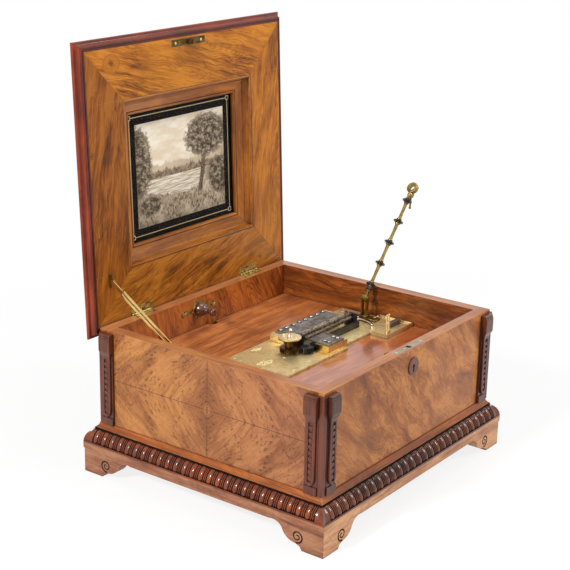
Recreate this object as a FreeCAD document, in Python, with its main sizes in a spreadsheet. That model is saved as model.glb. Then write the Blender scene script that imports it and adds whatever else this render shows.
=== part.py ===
import FreeCAD, Part
import math
import os
from types import SimpleNamespace

import Sketcher
from FreeCAD import Placement, Rotation, Vector

# Table disc music box: a walnut case on a gadrooned plinth, its lid leaning open, and a centre-drive
# movement on a brass bedplate. The drawing origin is the middle of the case on the floor,
# +Z is up and the keyhole side faces -Y. Lengths are in millimetres, angles in degrees.

doc = FreeCAD.newDocument("DiscMusicBox")
sheet = doc.addObject("Spreadsheet::Sheet", "sizes")

case_sizes = {
    "case_width": 500, "case_depth": 450, "rim_height": 255, "wall": 20.5, "wall_foot": 28,
    "floor_thick": 9, "base_overhang": 22.5, "base_height": 53, "foot_flat": 41, "foot_reach": 104,
    "toe_rise": 9.5, "toe_run": 13, "foot_rise": 29, "foot_run": 26, "arch_height": 36,
    "gadroon_height": 23.5, "gadroon_top": 9, "gadroon_lip": 3,
    "waist_reach": 7.8, "waist_lip": 3.5, "waist_height": 12, "waist_top": 2,
    "pilaster_inset": 6, "pilaster_width": 24, "pilaster_top": 5, "capital_reach": 12,
    "capital_height": 28, "shaft_reach": 4, "shoulder_drop": 11, "plinth_block": 13, "plinth_reach": 6,
    "corner_reach": 3.4, "fascia_height": 10, "fascia_step": 1.3,
}
deck_sizes = {
    "deck_drop": 57.5, "deck_thick": 8, "bearer_width": 12, "bearer_height": 10, "board_gap": 0.3,
    "well_left": -104, "well_right": 128, "well_half": 45, "notch_radius": 12, "notch_place": 13,
    "finger_hole_x": 80, "finger_hole_y": -133,
}
lock_sizes = {
    "keyhole_down": 30.3, "keyhole_radius": 3.2, "lock_width": 64, "lock_depth": 10,
    "lock_height": 44, "selvedge_length": 84, "selvedge_width": 12, "selvedge_thick": 2,
    "staple_width": 7.6, "staple_thick": 3, "staple_drop": 11, "staple_eye": 4.4, "eye_drop": 6,
    "slot_length": 8, "slot_width": 8.6, "bolt_length": 14, "bolt_size": 3.6, "bolt_gap": 0.5,
    "bolt_clear": 0.1, "escutcheon_radius": 14.5, "escutcheon_thick": 1.6, "keyhole_drop": 10,
}
lid_sizes = {
    "lid_lean": 2.64, "hinge_back": 1.2, "hinge_lift": 0.3, "lid_lap": 14.8, "lid_behind": 19,
    "lid_overhang": 16.6, "rail_thick": 15, "edge_width": 16, "edge_flare": 8.5, "edge_lip": 6,
    "band_side": 82.1, "band_back": 85.3, "band_front": 85.5, "frame_width": 31.5,
    "frame_bead": 5, "glass_depth": 23.5, "glass_thick": 2, "print_thick": 1, "print_inset": 20.5,
    "top_side": 50.6, "top_front": 53, "top_back": 53, "top_thick": 20, "top_bevel": 9,
    "strike_length": 87, "strike_width": 12, "strike_thick": 1.6,
    "hinge_centre": 147, "hinge_length": 50, "leaf_width": 14, "leaf_thick": 1.5,
    "knuckle_radius": 2.6, "pin_radius": 1.2, "knuckle_gap": 0.3, "knuckle_share": 0.36,
    "groove_radius": 3.2, "running_fit": 0.05,
}
stay_sizes = {
    "stay_off": 7.5, "stay_pivot_up": 72.3, "stay_pivot_out": 7, "stay_length": 151.3, "stay_angle": 213.1,
    "stay_width": 11, "stay_thick": 1.6, "stay_slot": 4.4, "stay_neck": 24, "neck_width": 7,
    "stay_pin": 1.5, "ear_radius": 5, "ear_thick": 2, "ear_gap": 0.3, "ear_foot": 22,
    "stud_radius": 1.8, "stud_plate": 16, "stud_plate_thick": 1.5, "stud_back": 6,
}
knob_sizes = {
    "knob_x": -21, "knob_rise": 35, "knob_plate_thick": 2, "knob_lobe": 6, "knob_lobe_reach": 40,
    "knob_boss": 17, "knob_radius": 13, "knob_length": 34, "knob_waist": 4.6, "knob_end": 7.4,
    "knob_arbor": 3, "knob_arbor_depth": 9, "plate_gap": 0.3,
}
bed_sizes = {
    "bed_rise": 4, "bed_thick": 4, "bed_left": -118, "bed_right": 222, "bed_front": -62,
    "bed_step": 55, "bed_step_front": -50, "bed_back": 64, "bed_notch": 142, "bed_notch_front": -16,
    "end_plate_right": 228, "end_plate_front": -85.5, "end_rim": 2.4, "end_rim_height": 3,
    "wall_gap": 1.5,
}
drive_sizes = {
    "spindle_x": -28.5, "spindle_radius": 3.9, "spindle_neck": 2.4, "ball_rise": 39,
    "shaft_radius": 4.3, "pin_length": 5, "seat_rise": 28, "seat_thick": 4, "seat_radius": 19.5,
    "sleeve_radius": 8,
    "peg_radius": 1.2, "peg_height": 2.5, "peg_reach": 13, "gear_module": 1.2, "gear_height": 7,
    "drive_teeth": 27, "idler_teeth": 20, "pinion_teeth": 12, "great_teeth": 64, "fan_teeth": 10,
    "gear_backlash": 0.28, "mesh_gap": 0.25, "gear_lift": 2.5, "idler_angle": -49,
    "idler_arbor": 2.5, "washer_radius": 10,
}
motor_sizes = {
    "plate_thick": 4, "frame_drop": 7, "frame_tall": 76.5, "pillar_radius": 4,
    "frame_left": -38, "frame_right": 96, "frame_half": 41.5, "pillar_inset": 6, "great_drop": 6,
    "great_thick": 6, "drum_radius": 29, "drum_height": 48, "arbor_radius": 4, "ratchet_radius": 15,
    "ratchet_teeth": 16, "ratchet_thick": 4, "ratchet_gap": 1.5, "arbor_square": 5, "tail": 9,
    "fan_radius": 11, "fan_height": 22, "fan_thick": 1, "fan_arbor": 1.6, "fan_lift": 16,
    "click_length": 18, "click_width": 5, "click_gap": 0.5,
}
comb_sizes = {
    "tooth_pitch": 3.5, "tooth_count": 41, "tooth_slot": 0.9, "first_track": 6, "comb_thick": 2.4,
    "comb_rise": 16.5, "comb_back": 56, "tip_line": 12.5, "comb_root": 40,
    "base_back": 59, "base_front": 30, "base_overrun": 9, "wheel_above": 1.5, "wheel_radius": 9.2,
    "wheel_root": 6.3, "wheel_points": 8, "wheel_thick": 1.3, "wheel_arbor": 2, "cheek_thick": 5,
    "guard_width": 9, "guard_depth": 10.5, "guard_height": 13, "guard_gap": 0.8,
    "cheek_front": -7, "cheek_back": 10, "rail_front": -19, "rail_back": -13.5, "rail_height": 11,
    "screw_head": 3.4, "screw_head_height": 2.6, "screw_count": 8,
    "front_comb_left": 8, "front_comb_teeth": 13, "front_comb_front": -55, "front_comb_root": -32,
    "front_base_back": -30, "front_base_front": -58, "front_base_over": 5,
}
bar_sizes = {
    "pivot_x": 199.5, "pivot_rise": 39, "bar_raised": 50, "rod_radius": 3.4,
    "hub_radius": 10.8, "hub_thick": 8.5, "hub_bore": 5.2, "yoke_length": 15, "yoke_half": 3.4,
    "pivot_pin": 2, "cheek_gap": 0.3, "post_cheek": 2.2, "post_width": 10, "post_foot": 7,
    "foot_front": -28, "foot_back": 14, "foot_before": 9.5, "foot_after": 8.5,
    "roller_first": 27, "roller_count": 5, "roller_radius": 9.2,
    "roller_rim": 2.4, "latch_back": 12, "latch_rise": 7,
    "latch_pin": 1, "latch_width": 4, "latch_length": 21, "latch_tip": 12.5, "latch_ear": 1.4,
}
lever_sizes = {
    "lever_x": 151.5, "lever_y": -80, "lever_height": 34, "lever_width": 8, "lever_thick": 2.6,
    "lever_pin": 1.4, "lever_pin_height": 4.5, "lever_cheek": 2, "lever_gap": 0.3,
    "spring_x": 200, "spring_y": -66, "spring_length": 34, "spring_width": 9, "spring_leaf": 1.3,
    "spring_leaves": 3, "spring_block": 8,
}


class Size:
    # A number, and the sheet expression that gives it.
    def __init__(self, number, text):
        self.number = float(number)
        self.text = text

    def __add__(self, other):
        other = as_size(other)
        return Size(self.number + other.number, f"({self.text} + {other.text})")

    def __sub__(self, other):
        other = as_size(other)
        return Size(self.number - other.number, f"({self.text} - {other.text})")

    def __mul__(self, other):
        other = as_size(other)
        return Size(self.number * other.number, f"({self.text} * {other.text})")

    def __truediv__(self, other):
        other = as_size(other)
        return Size(self.number / other.number, f"({self.text} / {other.text})")

    def __radd__(self, other):
        return as_size(other) + self

    def __rsub__(self, other):
        return as_size(other) - self

    def __rmul__(self, other):
        return as_size(other) * self

    def __neg__(self):
        return as_size(0) - self


def as_size(item):
    return item if isinstance(item, Size) else Size(item, f"({float(item)})")


def cosine(angle):
    return Size(math.cos(math.radians(angle.number)), f"cos({angle.text} * 1deg)")


def sine(angle):
    return Size(math.sin(math.radians(angle.number)), f"sin({angle.text} * 1deg)")


def fill_sheet(*tables):
    named = SimpleNamespace()
    row = 0
    for table in tables:
        for alias, number in table.items():
            row += 1
            sheet.set(f"A{row}", alias)
            sheet.set(f"B{row}", str(number))
            sheet.setAlias(f"B{row}", alias)
    doc.recompute()
    for table in tables:
        for alias in table:
            setattr(named, alias, Size(sheet.get(alias), f"sizes.{alias}"))
    return named


s = fill_sheet(case_sizes, deck_sizes, lock_sizes, lid_sizes, stay_sizes, knob_sizes, bed_sizes,
               drive_sizes, motor_sizes, comb_sizes, bar_sizes, lever_sizes)

nodes = []
turns = {"Z": Rotation(), "X": Rotation(Vector(0, 1, 0), 90), "Y": Rotation(Vector(1, 0, 0), -90)}


def bind(thing, prop, item):
    thing.setExpression(prop, as_size(item).text)


def place(thing, at, turn=None):
    at = [as_size(item) for item in at]
    thing.Placement = Placement(Vector(*[item.number for item in at]), turn or Rotation())
    for axis, item in zip("xyz", at):
        bind(thing, "Placement.Base." + axis, item)
    return thing


def box(length, width, height, at):
    thing = doc.addObject("Part::Box", "Block")
    bind(thing, "Length", length)
    bind(thing, "Width", width)
    bind(thing, "Height", height)
    return place(thing, at)


def rod(radius, length, at, along="Z"):
    thing = doc.addObject("Part::Cylinder", "Rod")
    bind(thing, "Radius", radius)
    bind(thing, "Height", length)
    return place(thing, at, turns[along])


def prism(radius, length, at, sides, outside=False):
    # An upright bar with flats, inside the circle of that radius or, as a bore, outside it.
    thing = doc.addObject("Part::Prism", "Prism")
    thing.Polygon = sides
    bind(thing, "Circumradius", radius / math.cos(math.pi / sides) if outside else radius)
    bind(thing, "Height", length)
    return place(thing, at)


def cut(base, *tools):
    for tool in tools:
        thing = doc.addObject("Part::Cut", "Cut")
        thing.Base = base
        thing.Tool = tool
        thing.Refine = True
        base = thing
    return base


def joined(*pieces):
    thing = doc.addObject("Part::MultiFuse", "Joined")
    thing.Shapes = list(pieces)
    thing.Refine = True
    return thing


def group(*pieces):
    thing = doc.addObject("Part::Compound", "Group")
    thing.Links = list(pieces)
    return thing


def made(shape, name="Made"):
    thing = doc.addObject("Part::Feature", name)
    thing.Shape = shape
    return thing


def node(name, thing):
    thing.Label = name
    nodes.append(thing)
    return thing


def half_round(radius):
    # A half circle is drawn a touch flat, so that the sketch has a single answer.
    return radius * 1.004


def sketch_on(body, plane, corners, holes=()):
    # A closed outline, every corner tied to the sheet. A corner with a third value is reached by
    # an arc of that radius, turning left where the radius is positive.
    sketch = body.newObject("Sketcher::SketchObject", "Outline")
    support = [item for item in body.Origin.OriginFeatures if item.Role == plane + "_Plane"]
    sketch.AttachmentSupport = [(support[0], "")]
    sketch.MapMode = "FlatFace"
    corners = [[as_size(item) for item in corner] for corner in corners]
    ends = []
    for index, corner in enumerate(corners):
        before = corners[index - 1]
        first = Vector(before[0].number, before[1].number, 0)
        last = Vector(corner[0].number, corner[1].number, 0)
        if len(corner) == 2:
            sketch.addGeometry(Part.LineSegment(first, last))
            ends.append((1, 2))
            continue
        radius = abs(corner[2].number)
        if corner[2].number < 0:
            first, last = last, first
        chord = last - first
        side = Vector(-chord.y, chord.x, 0).normalize()
        rise = math.sqrt(max(radius ** 2 - (chord.Length / 2) ** 2, 0))
        centre = (first + last) * 0.5 + side * rise
        angles = [math.atan2(point.y - centre.y, point.x - centre.x) for point in (first, last)]
        circle = Part.Circle(centre, Vector(0, 0, 1), radius)
        sketch.addGeometry(Part.ArcOfCircle(circle, angles[0], angles[1]))
        ends.append((1, 2) if corner[2].number > 0 else (2, 1))
    count = len(corners)
    for index, corner in enumerate(corners):
        follower = (index + 1) % count
        meeting = (index, ends[index][1], follower, ends[follower][0])
        sketch.addConstraint(Sketcher.Constraint("Coincident", *meeting))
        for kind, item in zip(("DistanceX", "DistanceY"), corner):
            fixed = Sketcher.Constraint(kind, -1, 1, index, ends[index][1], item.number)
            bind(sketch, f"Constraints[{sketch.addConstraint(fixed)}]", item)
        if len(corner) == 3:
            round_size = corner[2] if corner[2].number > 0 else -corner[2]
            fixed = Sketcher.Constraint("Radius", index, round_size.number)
            bind(sketch, f"Constraints[{sketch.addConstraint(fixed)}]", round_size)
    for across, up, radius in holes:
        across, up, radius = as_size(across), as_size(up), as_size(radius)
        circle = Part.Circle(Vector(across.number, up.number, 0), Vector(0, 0, 1), radius.number)
        index = sketch.addGeometry(circle)
        for kind, item in (("DistanceX", across), ("DistanceY", up)):
            fixed = Sketcher.Constraint(kind, -1, 1, index, 3, item.number)
            bind(sketch, f"Constraints[{sketch.addConstraint(fixed)}]", item)
        fixed = Sketcher.Constraint("Radius", index, radius.number)
        bind(sketch, f"Constraints[{sketch.addConstraint(fixed)}]", radius)
    return sketch


def slab(plane, corners, thick, at=(0, 0, 0), holes=(), turn=None, middle=False):
    # A flat outline given a thickness. From XZ it grows towards +Y, from XY and YZ along +Z and +X.
    body = doc.addObject("PartDesign::Body", "Body")
    pad = body.newObject("PartDesign::Pad", "Pad")
    pad.Profile = sketch_on(body, plane, corners, holes)
    pad.Reversed = plane == "XZ"
    pad.SideType = "Symmetric" if middle else "One side"
    bind(pad, "Length", thick)
    return place(body, at, turn)


def turned(corners, at=(0, 0, 0), turn=None):
    # A lathe profile, radius first and height second, spun about its own upright axis.
    body = doc.addObject("PartDesign::Body", "Turned")
    sketch = sketch_on(body, "XZ", corners)
    spun = body.newObject("PartDesign::Revolution", "Spun")
    spun.Profile = sketch
    spun.ReferenceAxis = (sketch, ["V_Axis"])
    spun.Angle = 360
    return place(body, at, turn)


def mirrored(profile):
    # The same outline seen from the other side, its arcs turning the other way.
    return [(-corner[0], corner[1], *[-radius for radius in corner[2:]]) for corner in profile]


def rectangle(left, low, right, high):
    return [(left, low), (right, low), (right, high), (left, high)]


def mitred(profile, length, near, at=(0, 0, 0), turn=None):
    # A moulding along X with ends cut at 45 degrees. The profile gives how far each corner stands
    # out (towards -Y) and its height; length is measured at no reach, near is the largest reach.
    body = doc.addObject("PartDesign::Body", "Moulding")
    pad = body.newObject("PartDesign::Pad", "Run")
    pad.Profile = sketch_on(body, "YZ", mirrored(profile))
    pad.SideType = "Symmetric"
    bind(pad, "Length", length + 2 * near)
    half = length / 2
    for side in (-1, 1):
        waste = [(side * half, 0), (side * (half + near + 1), -near - 1), (side * (half + near + 1), 0)]
        trim = body.newObject("PartDesign::Pocket", "Mitre")
        trim.Profile = sketch_on(body, "XY", waste)
        trim.Type = "ThroughAll"
        trim.SideType = "Symmetric"
    return place(body, at, turn)


# ---- walls, floor and plinth of the case

half_width = s.case_width / 2
half_depth = s.case_depth / 2
inner_width = half_width - s.wall
inner_depth = half_depth - s.wall
wall_height = s.rim_height - s.wall_foot
lock_line = -half_depth + s.wall / 2
hinge_y = half_depth + s.hinge_back
hinge_z = s.rim_height + s.hinge_lift
deck_top = s.rim_height - s.deck_drop
bed_top = deck_top + s.bed_rise
keyhole_z = s.rim_height - s.keyhole_down
knob_z = deck_top + s.knob_rise
# the whole movement keeps its distance from the right wall
movement_x = inner_width - s.wall_gap - s.end_plate_right
bed_left = movement_x + s.bed_left
bed_step = movement_x + s.bed_step
bed_notch = movement_x + s.bed_notch
bed_right = movement_x + s.bed_right
end_plate_right = movement_x + s.end_plate_right
well_left = movement_x + s.well_left
well_right = movement_x + s.well_right
spindle_x = movement_x + s.spindle_x
frame_left = movement_x + s.frame_left
frame_right = movement_x + s.frame_right
first_track = movement_x + s.first_track
front_comb_left = movement_x + s.front_comb_left
pivot_x = movement_x + s.pivot_x
lever_x = movement_x + s.lever_x
spring_x = movement_x + s.spring_x


def lock_mortise():
    depth = s.lock_height + s.selvedge_thick
    body_hole = box(s.lock_width, s.lock_depth, depth + 1,
                    (-s.lock_width / 2, lock_line - s.lock_depth / 2, s.rim_height - depth))
    seat = box(s.selvedge_length, s.selvedge_width, s.selvedge_thick + 1,
               (-s.selvedge_length / 2, lock_line - s.selvedge_width / 2,
                s.rim_height - s.selvedge_thick))
    return joined(body_hole, seat)


def hinge_seats():
    # The case leaves lie flush in the back wall's edge, and a groove clears the knuckles.
    seats = []
    for side in (-1, 1):
        start = side * s.hinge_centre - s.hinge_length / 2
        seats.append(box(s.hinge_length, s.leaf_width, s.leaf_thick + s.hinge_lift + 1,
                         (start, half_depth - s.leaf_width + s.hinge_back,
                          s.rim_height - s.leaf_thick)))
        seats.append(rod(s.groove_radius, s.hinge_length, (start, hinge_y, hinge_z), "X"))
    return joined(*seats)


def walls():
    front = box(s.case_width, s.wall, wall_height, (-half_width, -half_depth, s.wall_foot))
    slit = s.keyhole_radius * 0.55
    keyhole = [rod(s.keyhole_radius, s.wall / 2, (0, -half_depth, keyhole_z), "Y"),
               box(2 * slit, s.wall / 2, s.keyhole_drop,
                   (-slit, -half_depth, keyhole_z - s.keyhole_drop))]
    node("front_wall", cut(front, lock_mortise(), *keyhole))
    back = box(s.case_width, s.wall, wall_height, (-half_width, inner_depth, s.wall_foot))
    arbor_hole = rod(s.knob_arbor + s.plate_gap, s.knob_arbor_depth + s.plate_gap,
                     (s.knob_x, inner_depth, knob_z), "Y")
    node("back_wall", cut(back, hinge_seats(), arbor_hole))
    for name, edge in (("left_wall", -half_width), ("right_wall", inner_width)):
        node(name, box(s.wall, s.case_depth - 2 * s.wall, wall_height,
                       (edge, -inner_depth, s.wall_foot)))
    node("bottom_board", box(2 * inner_width, 2 * inner_depth, s.floor_thick,
                             (-inner_width, -inner_depth, s.wall_foot)))


def foot_outline(half_run, missing):
    # One side board seen square on, with a bracket foot at each end. The feet are measured from
    # the outer corner of the plinth, of which the neighbouring board takes the missing part.
    flat = half_run + missing - s.foot_flat
    toe = flat - s.toe_run
    knee = toe - s.foot_run
    arch = half_run + missing - s.foot_reach
    sole = [(half_run, 0), (half_run, s.base_height), (-half_run, s.base_height), (-half_run, 0)]
    left = [(-flat, 0), (-flat + s.toe_run / 3, s.toe_rise * 0.7), (-toe, s.toe_rise),
            (-knee, s.foot_rise, s.foot_run * 1.1), (-arch, s.arch_height, -s.foot_run * 0.9)]
    right = [(arch, s.arch_height), (knee, s.foot_rise, -s.foot_run * 0.9),
             (toe, s.toe_rise, s.foot_run * 1.1), (flat - s.toe_run / 3, s.toe_rise * 0.7), (flat, 0)]
    return sole + left + right


def plinth():
    long_half = half_width + s.base_overhang
    # below a fascia the boards stand back a step, also at their mitred corners
    low = s.base_height - s.fascia_height
    step = s.fascia_step
    over = s.base_overhang
    for name, edge, face in (("base_front", -half_depth - over, -half_depth - over),
                             ("base_back", half_depth, half_depth + over - step)):
        board = slab("XZ", foot_outline(long_half, 0), over, (0, edge, 0))
        steps = [box(2 * long_half, step, low, (-long_half, face, 0)),
                 box(step, over, low, (-long_half, edge, 0)),
                 box(step, over, low, (long_half - step, edge, 0))]
        node(name, cut(board, *steps))
    for name, edge, face in (("base_left", -half_width - over, -half_width - over),
                             ("base_right", half_width, half_width + over - step)):
        board = slab("YZ", foot_outline(half_depth, over), over, (edge, 0, 0))
        node(name, cut(board, box(step, 2 * half_depth, low, (face, -half_depth, 0))))


def around_case(profile, near):
    runs = []
    for length, x, y, angle in ((s.case_width, 0, -half_depth, 0), (s.case_width, 0, half_depth, 180),
                                (s.case_depth, -half_width, 0, -90), (s.case_depth, half_width, 0, 90)):
        turn = Rotation(Vector(0, 0, 1), angle)
        runs.append(mitred(profile, length, near, (x, y, 0), turn))
    return runs


def mouldings():
    foot = s.base_height
    top = foot + s.gadroon_height
    ovolo = [(0, foot), (s.base_overhang, foot), (s.base_overhang, foot + s.gadroon_lip),
             (s.gadroon_top, top, s.gadroon_height * 1.05), (0, top)]
    node("gadroon_moulding", group(*around_case(ovolo, s.base_overhang)))
    high = top + s.waist_height
    cove = [(0, top), (s.waist_reach, top), (s.waist_reach, top + s.waist_lip),
            (s.waist_top, high, -s.waist_height * 0.9), (0, high)]
    node("waist_moulding", group(*around_case(cove, s.waist_reach)))


def pilasters():
    # Scrolled consoles on the front and the two sides, one each side of a corner.
    foot = s.base_height + s.gadroon_height + s.waist_height
    crown = s.rim_height - s.pilaster_top
    neck = crown - s.capital_height
    side_view = [(0, foot), (s.plinth_reach, foot), (s.plinth_reach, foot + s.plinth_block),
                 (s.shaft_reach, foot + s.plinth_block + 2), (s.shaft_reach, neck - s.shoulder_drop),
                 (s.capital_reach, neck, -s.shoulder_drop * 1.3), (s.capital_reach, crown - 3),
                 (s.capital_reach - 2, crown), (0, crown)]
    across = half_width - s.pilaster_inset - s.pilaster_width / 2
    along = half_depth - s.pilaster_inset - s.pilaster_width / 2
    spots = [(side * across, -half_depth, 0) for side in (-1, 1)]
    spots += [(-half_width, side * along, -90) for side in (-1, 1)]
    spots += [(half_width, side * along, 90) for side in (-1, 1)]
    pieces = []
    for x, y, angle in spots:
        turn = Rotation(Vector(0, 0, 1), angle)
        pieces.append(slab("YZ", mirrored(side_view), s.pilaster_width, (x, y, 0), turn=turn,
                           middle=True))
    # a thin post wraps each corner beside them
    step = s.corner_reach
    inset = s.pilaster_inset
    tall = crown - foot
    for flank, inner in ((-half_width - step, -half_width), (half_width, half_width - inset)):
        pieces.append(joined(box(step, inset + step, tall, (flank, -half_depth - step, foot)),
                             box(inset, step, tall, (inner, -half_depth - step, foot))))
        pieces.append(box(step, inset, tall, (flank, half_depth - inset, foot)))
    node("corner_pilasters", group(*pieces))


def deck():
    low = deck_top - s.deck_thick
    edge = inner_width - s.board_gap
    back = inner_depth - s.board_gap
    left_notch = s.notch_place - s.notch_radius
    right_notch = s.notch_place + s.notch_radius
    rear = [(-edge, s.board_gap), (well_left, s.board_gap), (well_left, s.well_half),
            (well_right, s.well_half), (well_right, s.board_gap), (edge, s.board_gap),
            (edge, back), (right_notch, back), (left_notch, back, -half_round(s.notch_radius)),
            (-edge, back)]
    node("deck_back_board", slab("XY", rear, s.deck_thick, (0, 0, low)))
    front = [(-edge, -back), (edge, -back), (edge, 0), (well_right, 0), (well_right, -s.well_half),
             (well_left, -s.well_half), (well_left, 0), (-edge, 0)]
    finger = [(s.finger_hole_x, s.finger_hole_y, s.notch_radius)]
    node("deck_front_board", slab("XY", front, s.deck_thick, (0, 0, low), finger))
    under = low - s.bearer_height
    battens = []
    for y in (-inner_depth, inner_depth - s.bearer_width):
        battens.append(box(2 * inner_width, s.bearer_width, s.bearer_height, (-inner_width, y, under)))
    for x in (-inner_width, inner_width - s.bearer_width):
        battens.append(box(s.bearer_width, 2 * (inner_depth - s.bearer_width), s.bearer_height,
                           (x, -inner_depth + s.bearer_width, under)))
    node("deck_bearers", group(*battens))


# ---- lock in the front wall

def lock():
    top = s.rim_height - s.selvedge_thick
    case = box(s.lock_width, s.lock_depth, s.lock_height,
               (-s.lock_width / 2, lock_line - s.lock_depth / 2, top - s.lock_height))
    mouth = box(s.slot_length, s.slot_width, s.staple_drop + 3,
                (-s.slot_length / 2, lock_line - s.slot_width / 2, top - s.staple_drop - 3))
    bolt_z = s.rim_height - s.eye_drop + s.hinge_lift
    play = s.bolt_size / 2 + s.bolt_clear
    throw = 2 * s.bolt_length
    track = box(throw + s.slot_length, 2 * play, 2 * play,
                (-throw / 2, lock_line - play, bolt_z - play))
    selvedge = box(s.selvedge_length, s.selvedge_width, s.selvedge_thick,
                   (-s.selvedge_length / 2, lock_line - s.selvedge_width / 2, top))
    gate = box(s.slot_length, s.slot_width, s.selvedge_thick,
               (-s.slot_length / 2, lock_line - s.slot_width / 2, top))
    key_pin = rod(s.keyhole_radius, s.lock_depth / 2,
                  (0, lock_line - s.lock_depth / 2, keyhole_z), "Y")
    node("lock_case", cut(joined(case, selvedge), mouth, track, gate, key_pin))
    half = s.bolt_size / 2
    start = s.slot_length / 2 + s.bolt_gap
    node("lock_bolt", box(s.bolt_length, s.bolt_size, s.bolt_size,
                          (start, lock_line - half, bolt_z - half)))
    front = -half_depth - s.escutcheon_thick
    plate = rod(s.escutcheon_radius, s.escutcheon_thick, (0, front, keyhole_z), "Y")
    slit = s.keyhole_radius * 0.55
    keyhole = [rod(s.keyhole_radius, s.escutcheon_thick, (0, front, keyhole_z), "Y"),
               box(2 * slit, s.escutcheon_thick, s.keyhole_drop,
                   (-slit, front, keyhole_z - s.keyhole_drop))]
    node("key_escutcheon", cut(plate, *keyhole))


# ---- lid, drawn upright: +Z runs up the open lid, its inner face is y = 0 and faces -Y

def on_lid(thing):
    turn = Rotation(Vector(-1, 0, 0), s.lid_lean.number)
    place(thing, (0, hinge_y, hinge_z), turn)
    bind(thing, "Placement.Rotation.Angle", s.lid_lean)
    return thing


edge_x = half_width + s.lid_overhang - s.edge_width
edge_low = s.edge_width - s.lid_behind
edge_high = s.case_depth + s.hinge_back + s.lid_lap - s.edge_width
recess_half = edge_x - s.band_side
recess_low = edge_low + s.band_back
recess_high = edge_high - s.band_front
recess_mid = (recess_low + recess_high) / 2


def hinge_groove():
    seats = []
    for side in (-1, 1):
        start = side * s.hinge_centre - s.hinge_length / 2
        seats.append(rod(s.groove_radius, s.hinge_length, (start, 0, 0), "X"))
        seats.append(box(s.hinge_length, s.leaf_thick + 1, s.leaf_width, (start, -1, 0)))
    return joined(*seats)


def lid_rails():
    tall = recess_high - recess_low
    side = edge_x - recess_half
    rails = [box(side, s.rail_thick, tall, (-edge_x, 0, recess_low)),
             box(side, s.rail_thick, tall, (recess_half, 0, recess_low))]
    low = box(2 * edge_x, s.rail_thick, recess_low - edge_low, (-edge_x, 0, edge_low))
    high = box(2 * edge_x, s.rail_thick, edge_high - recess_high, (-edge_x, 0, recess_high))
    strike_seat = box(s.strike_length, s.strike_thick + 1, s.strike_width,
                      (-s.strike_length / 2, -1, strike_low))
    rails.append(cut(low, hinge_groove()))
    rails.append(cut(high, strike_seat))
    node("lid_frame", on_lid(group(*rails)))


strike_mid = hinge_y - lock_line
strike_low = strike_mid - s.strike_width / 2


def lid_edge():
    # A flared moulding round the lid: narrow at the inner face and full width at the outer one.
    inner = s.edge_width - s.edge_flare
    profile = [(0, 0), (0, -s.rail_thick), (s.edge_width, -s.rail_thick),
               (s.edge_width, s.edge_lip - s.rail_thick), (inner, -s.edge_lip * 0.4, -s.edge_width),
               (inner, 0)]
    mid = (edge_low + edge_high) / 2
    tall = edge_high - edge_low
    pieces = []
    for length, x, z, angle in ((2 * edge_x, 0, edge_low, 0), (2 * edge_x, 0, edge_high, 180),
                                (tall, -edge_x, mid, 90), (tall, edge_x, mid, -90)):
        lay = Rotation(Vector(0, 1, 0), angle).multiply(Rotation(Vector(1, 0, 0), 90))
        pieces.append(mitred(profile, length, s.edge_width, (x, 0, z), lay))
    lower = pieces[0]
    pieces[0] = cut(lower, hinge_groove())
    node("lid_edge_moulding", on_lid(group(*pieces)))


def lid_panel():
    # The raised top of the lid, hollowed from inside for the picture.
    half = edge_x - s.top_side
    low = edge_low + s.top_back
    high = edge_high - s.top_front
    bevel = s.top_bevel
    wedge = doc.addObject("Part::Wedge", "Raised")
    for prop, item in (("Xmin", 0), ("Xmax", 2 * half), ("Zmin", 0), ("Zmax", high - low),
                       ("X2min", bevel), ("X2max", 2 * half - bevel), ("Z2min", bevel),
                       ("Z2max", high - low - bevel), ("Ymin", 0), ("Ymax", s.top_thick)):
        bind(wedge, prop, item)
    place(wedge, (-half, s.rail_thick, low))
    hollow = box(2 * recess_half, s.glass_depth + s.glass_thick + s.print_thick - s.rail_thick + 1,
                 recess_high - recess_low, (-recess_half, s.rail_thick - 1, recess_low))
    node("lid_top_panel", on_lid(cut(wedge, hollow)))


def picture():
    width = s.frame_width
    back = s.glass_depth
    profile = [(0, 0), (-s.frame_bead, 0), (-s.frame_bead, -3), (-width + 4, -back + 5, -60),
               (-width, -back + 4), (-width, -back), (0, -back)]
    half_tall = (recess_high - recess_low) / 2
    pieces = []
    for length, x, z, angle in ((2 * recess_half, 0, recess_low, 0),
                                (2 * recess_half, 0, recess_high, 180),
                                (2 * half_tall, -recess_half, recess_mid, 90),
                                (2 * half_tall, recess_half, recess_mid, -90)):
        lay = Rotation(Vector(0, 1, 0), angle).multiply(Rotation(Vector(1, 0, 0), 90))
        pieces.append(inward(profile, length, width, (x, 0, z), lay))
    node("picture_moulding", on_lid(group(*pieces)))
    half = recess_half - width / 2
    tall = half_tall - width / 2
    glass = box(2 * half, s.glass_thick, 2 * tall, (-half, back, recess_mid - tall))
    node("picture_glass", on_lid(group(glass)))
    inset = s.print_inset
    wide = recess_half - width - inset
    high = half_tall - width - inset
    sheet_of_card = box(2 * wide, s.print_thick, 2 * high,
                        (-wide, back + s.glass_thick, recess_mid - high))
    node("picture_print", on_lid(group(sheet_of_card)))


def inward(profile, length, deep, at, turn):
    # A moulding along X inside a frame: it stands towards +Y from its outer edge, with mitred ends.
    body = doc.addObject("PartDesign::Body", "Moulding")
    pad = body.newObject("PartDesign::Pad", "Run")
    pad.Profile = sketch_on(body, "YZ", mirrored(profile))
    pad.SideType = "Symmetric"
    bind(pad, "Length", length)
    half = length / 2
    for side in (-1, 1):
        waste = [(side * half, 0), (side * (half - deep - 1), deep + 1), (side * half, deep + 1)]
        trim = body.newObject("PartDesign::Pocket", "Mitre")
        trim.Profile = sketch_on(body, "XY", waste)
        trim.Type = "ThroughAll"
        trim.SideType = "Symmetric"
    return place(body, at, turn)


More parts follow.
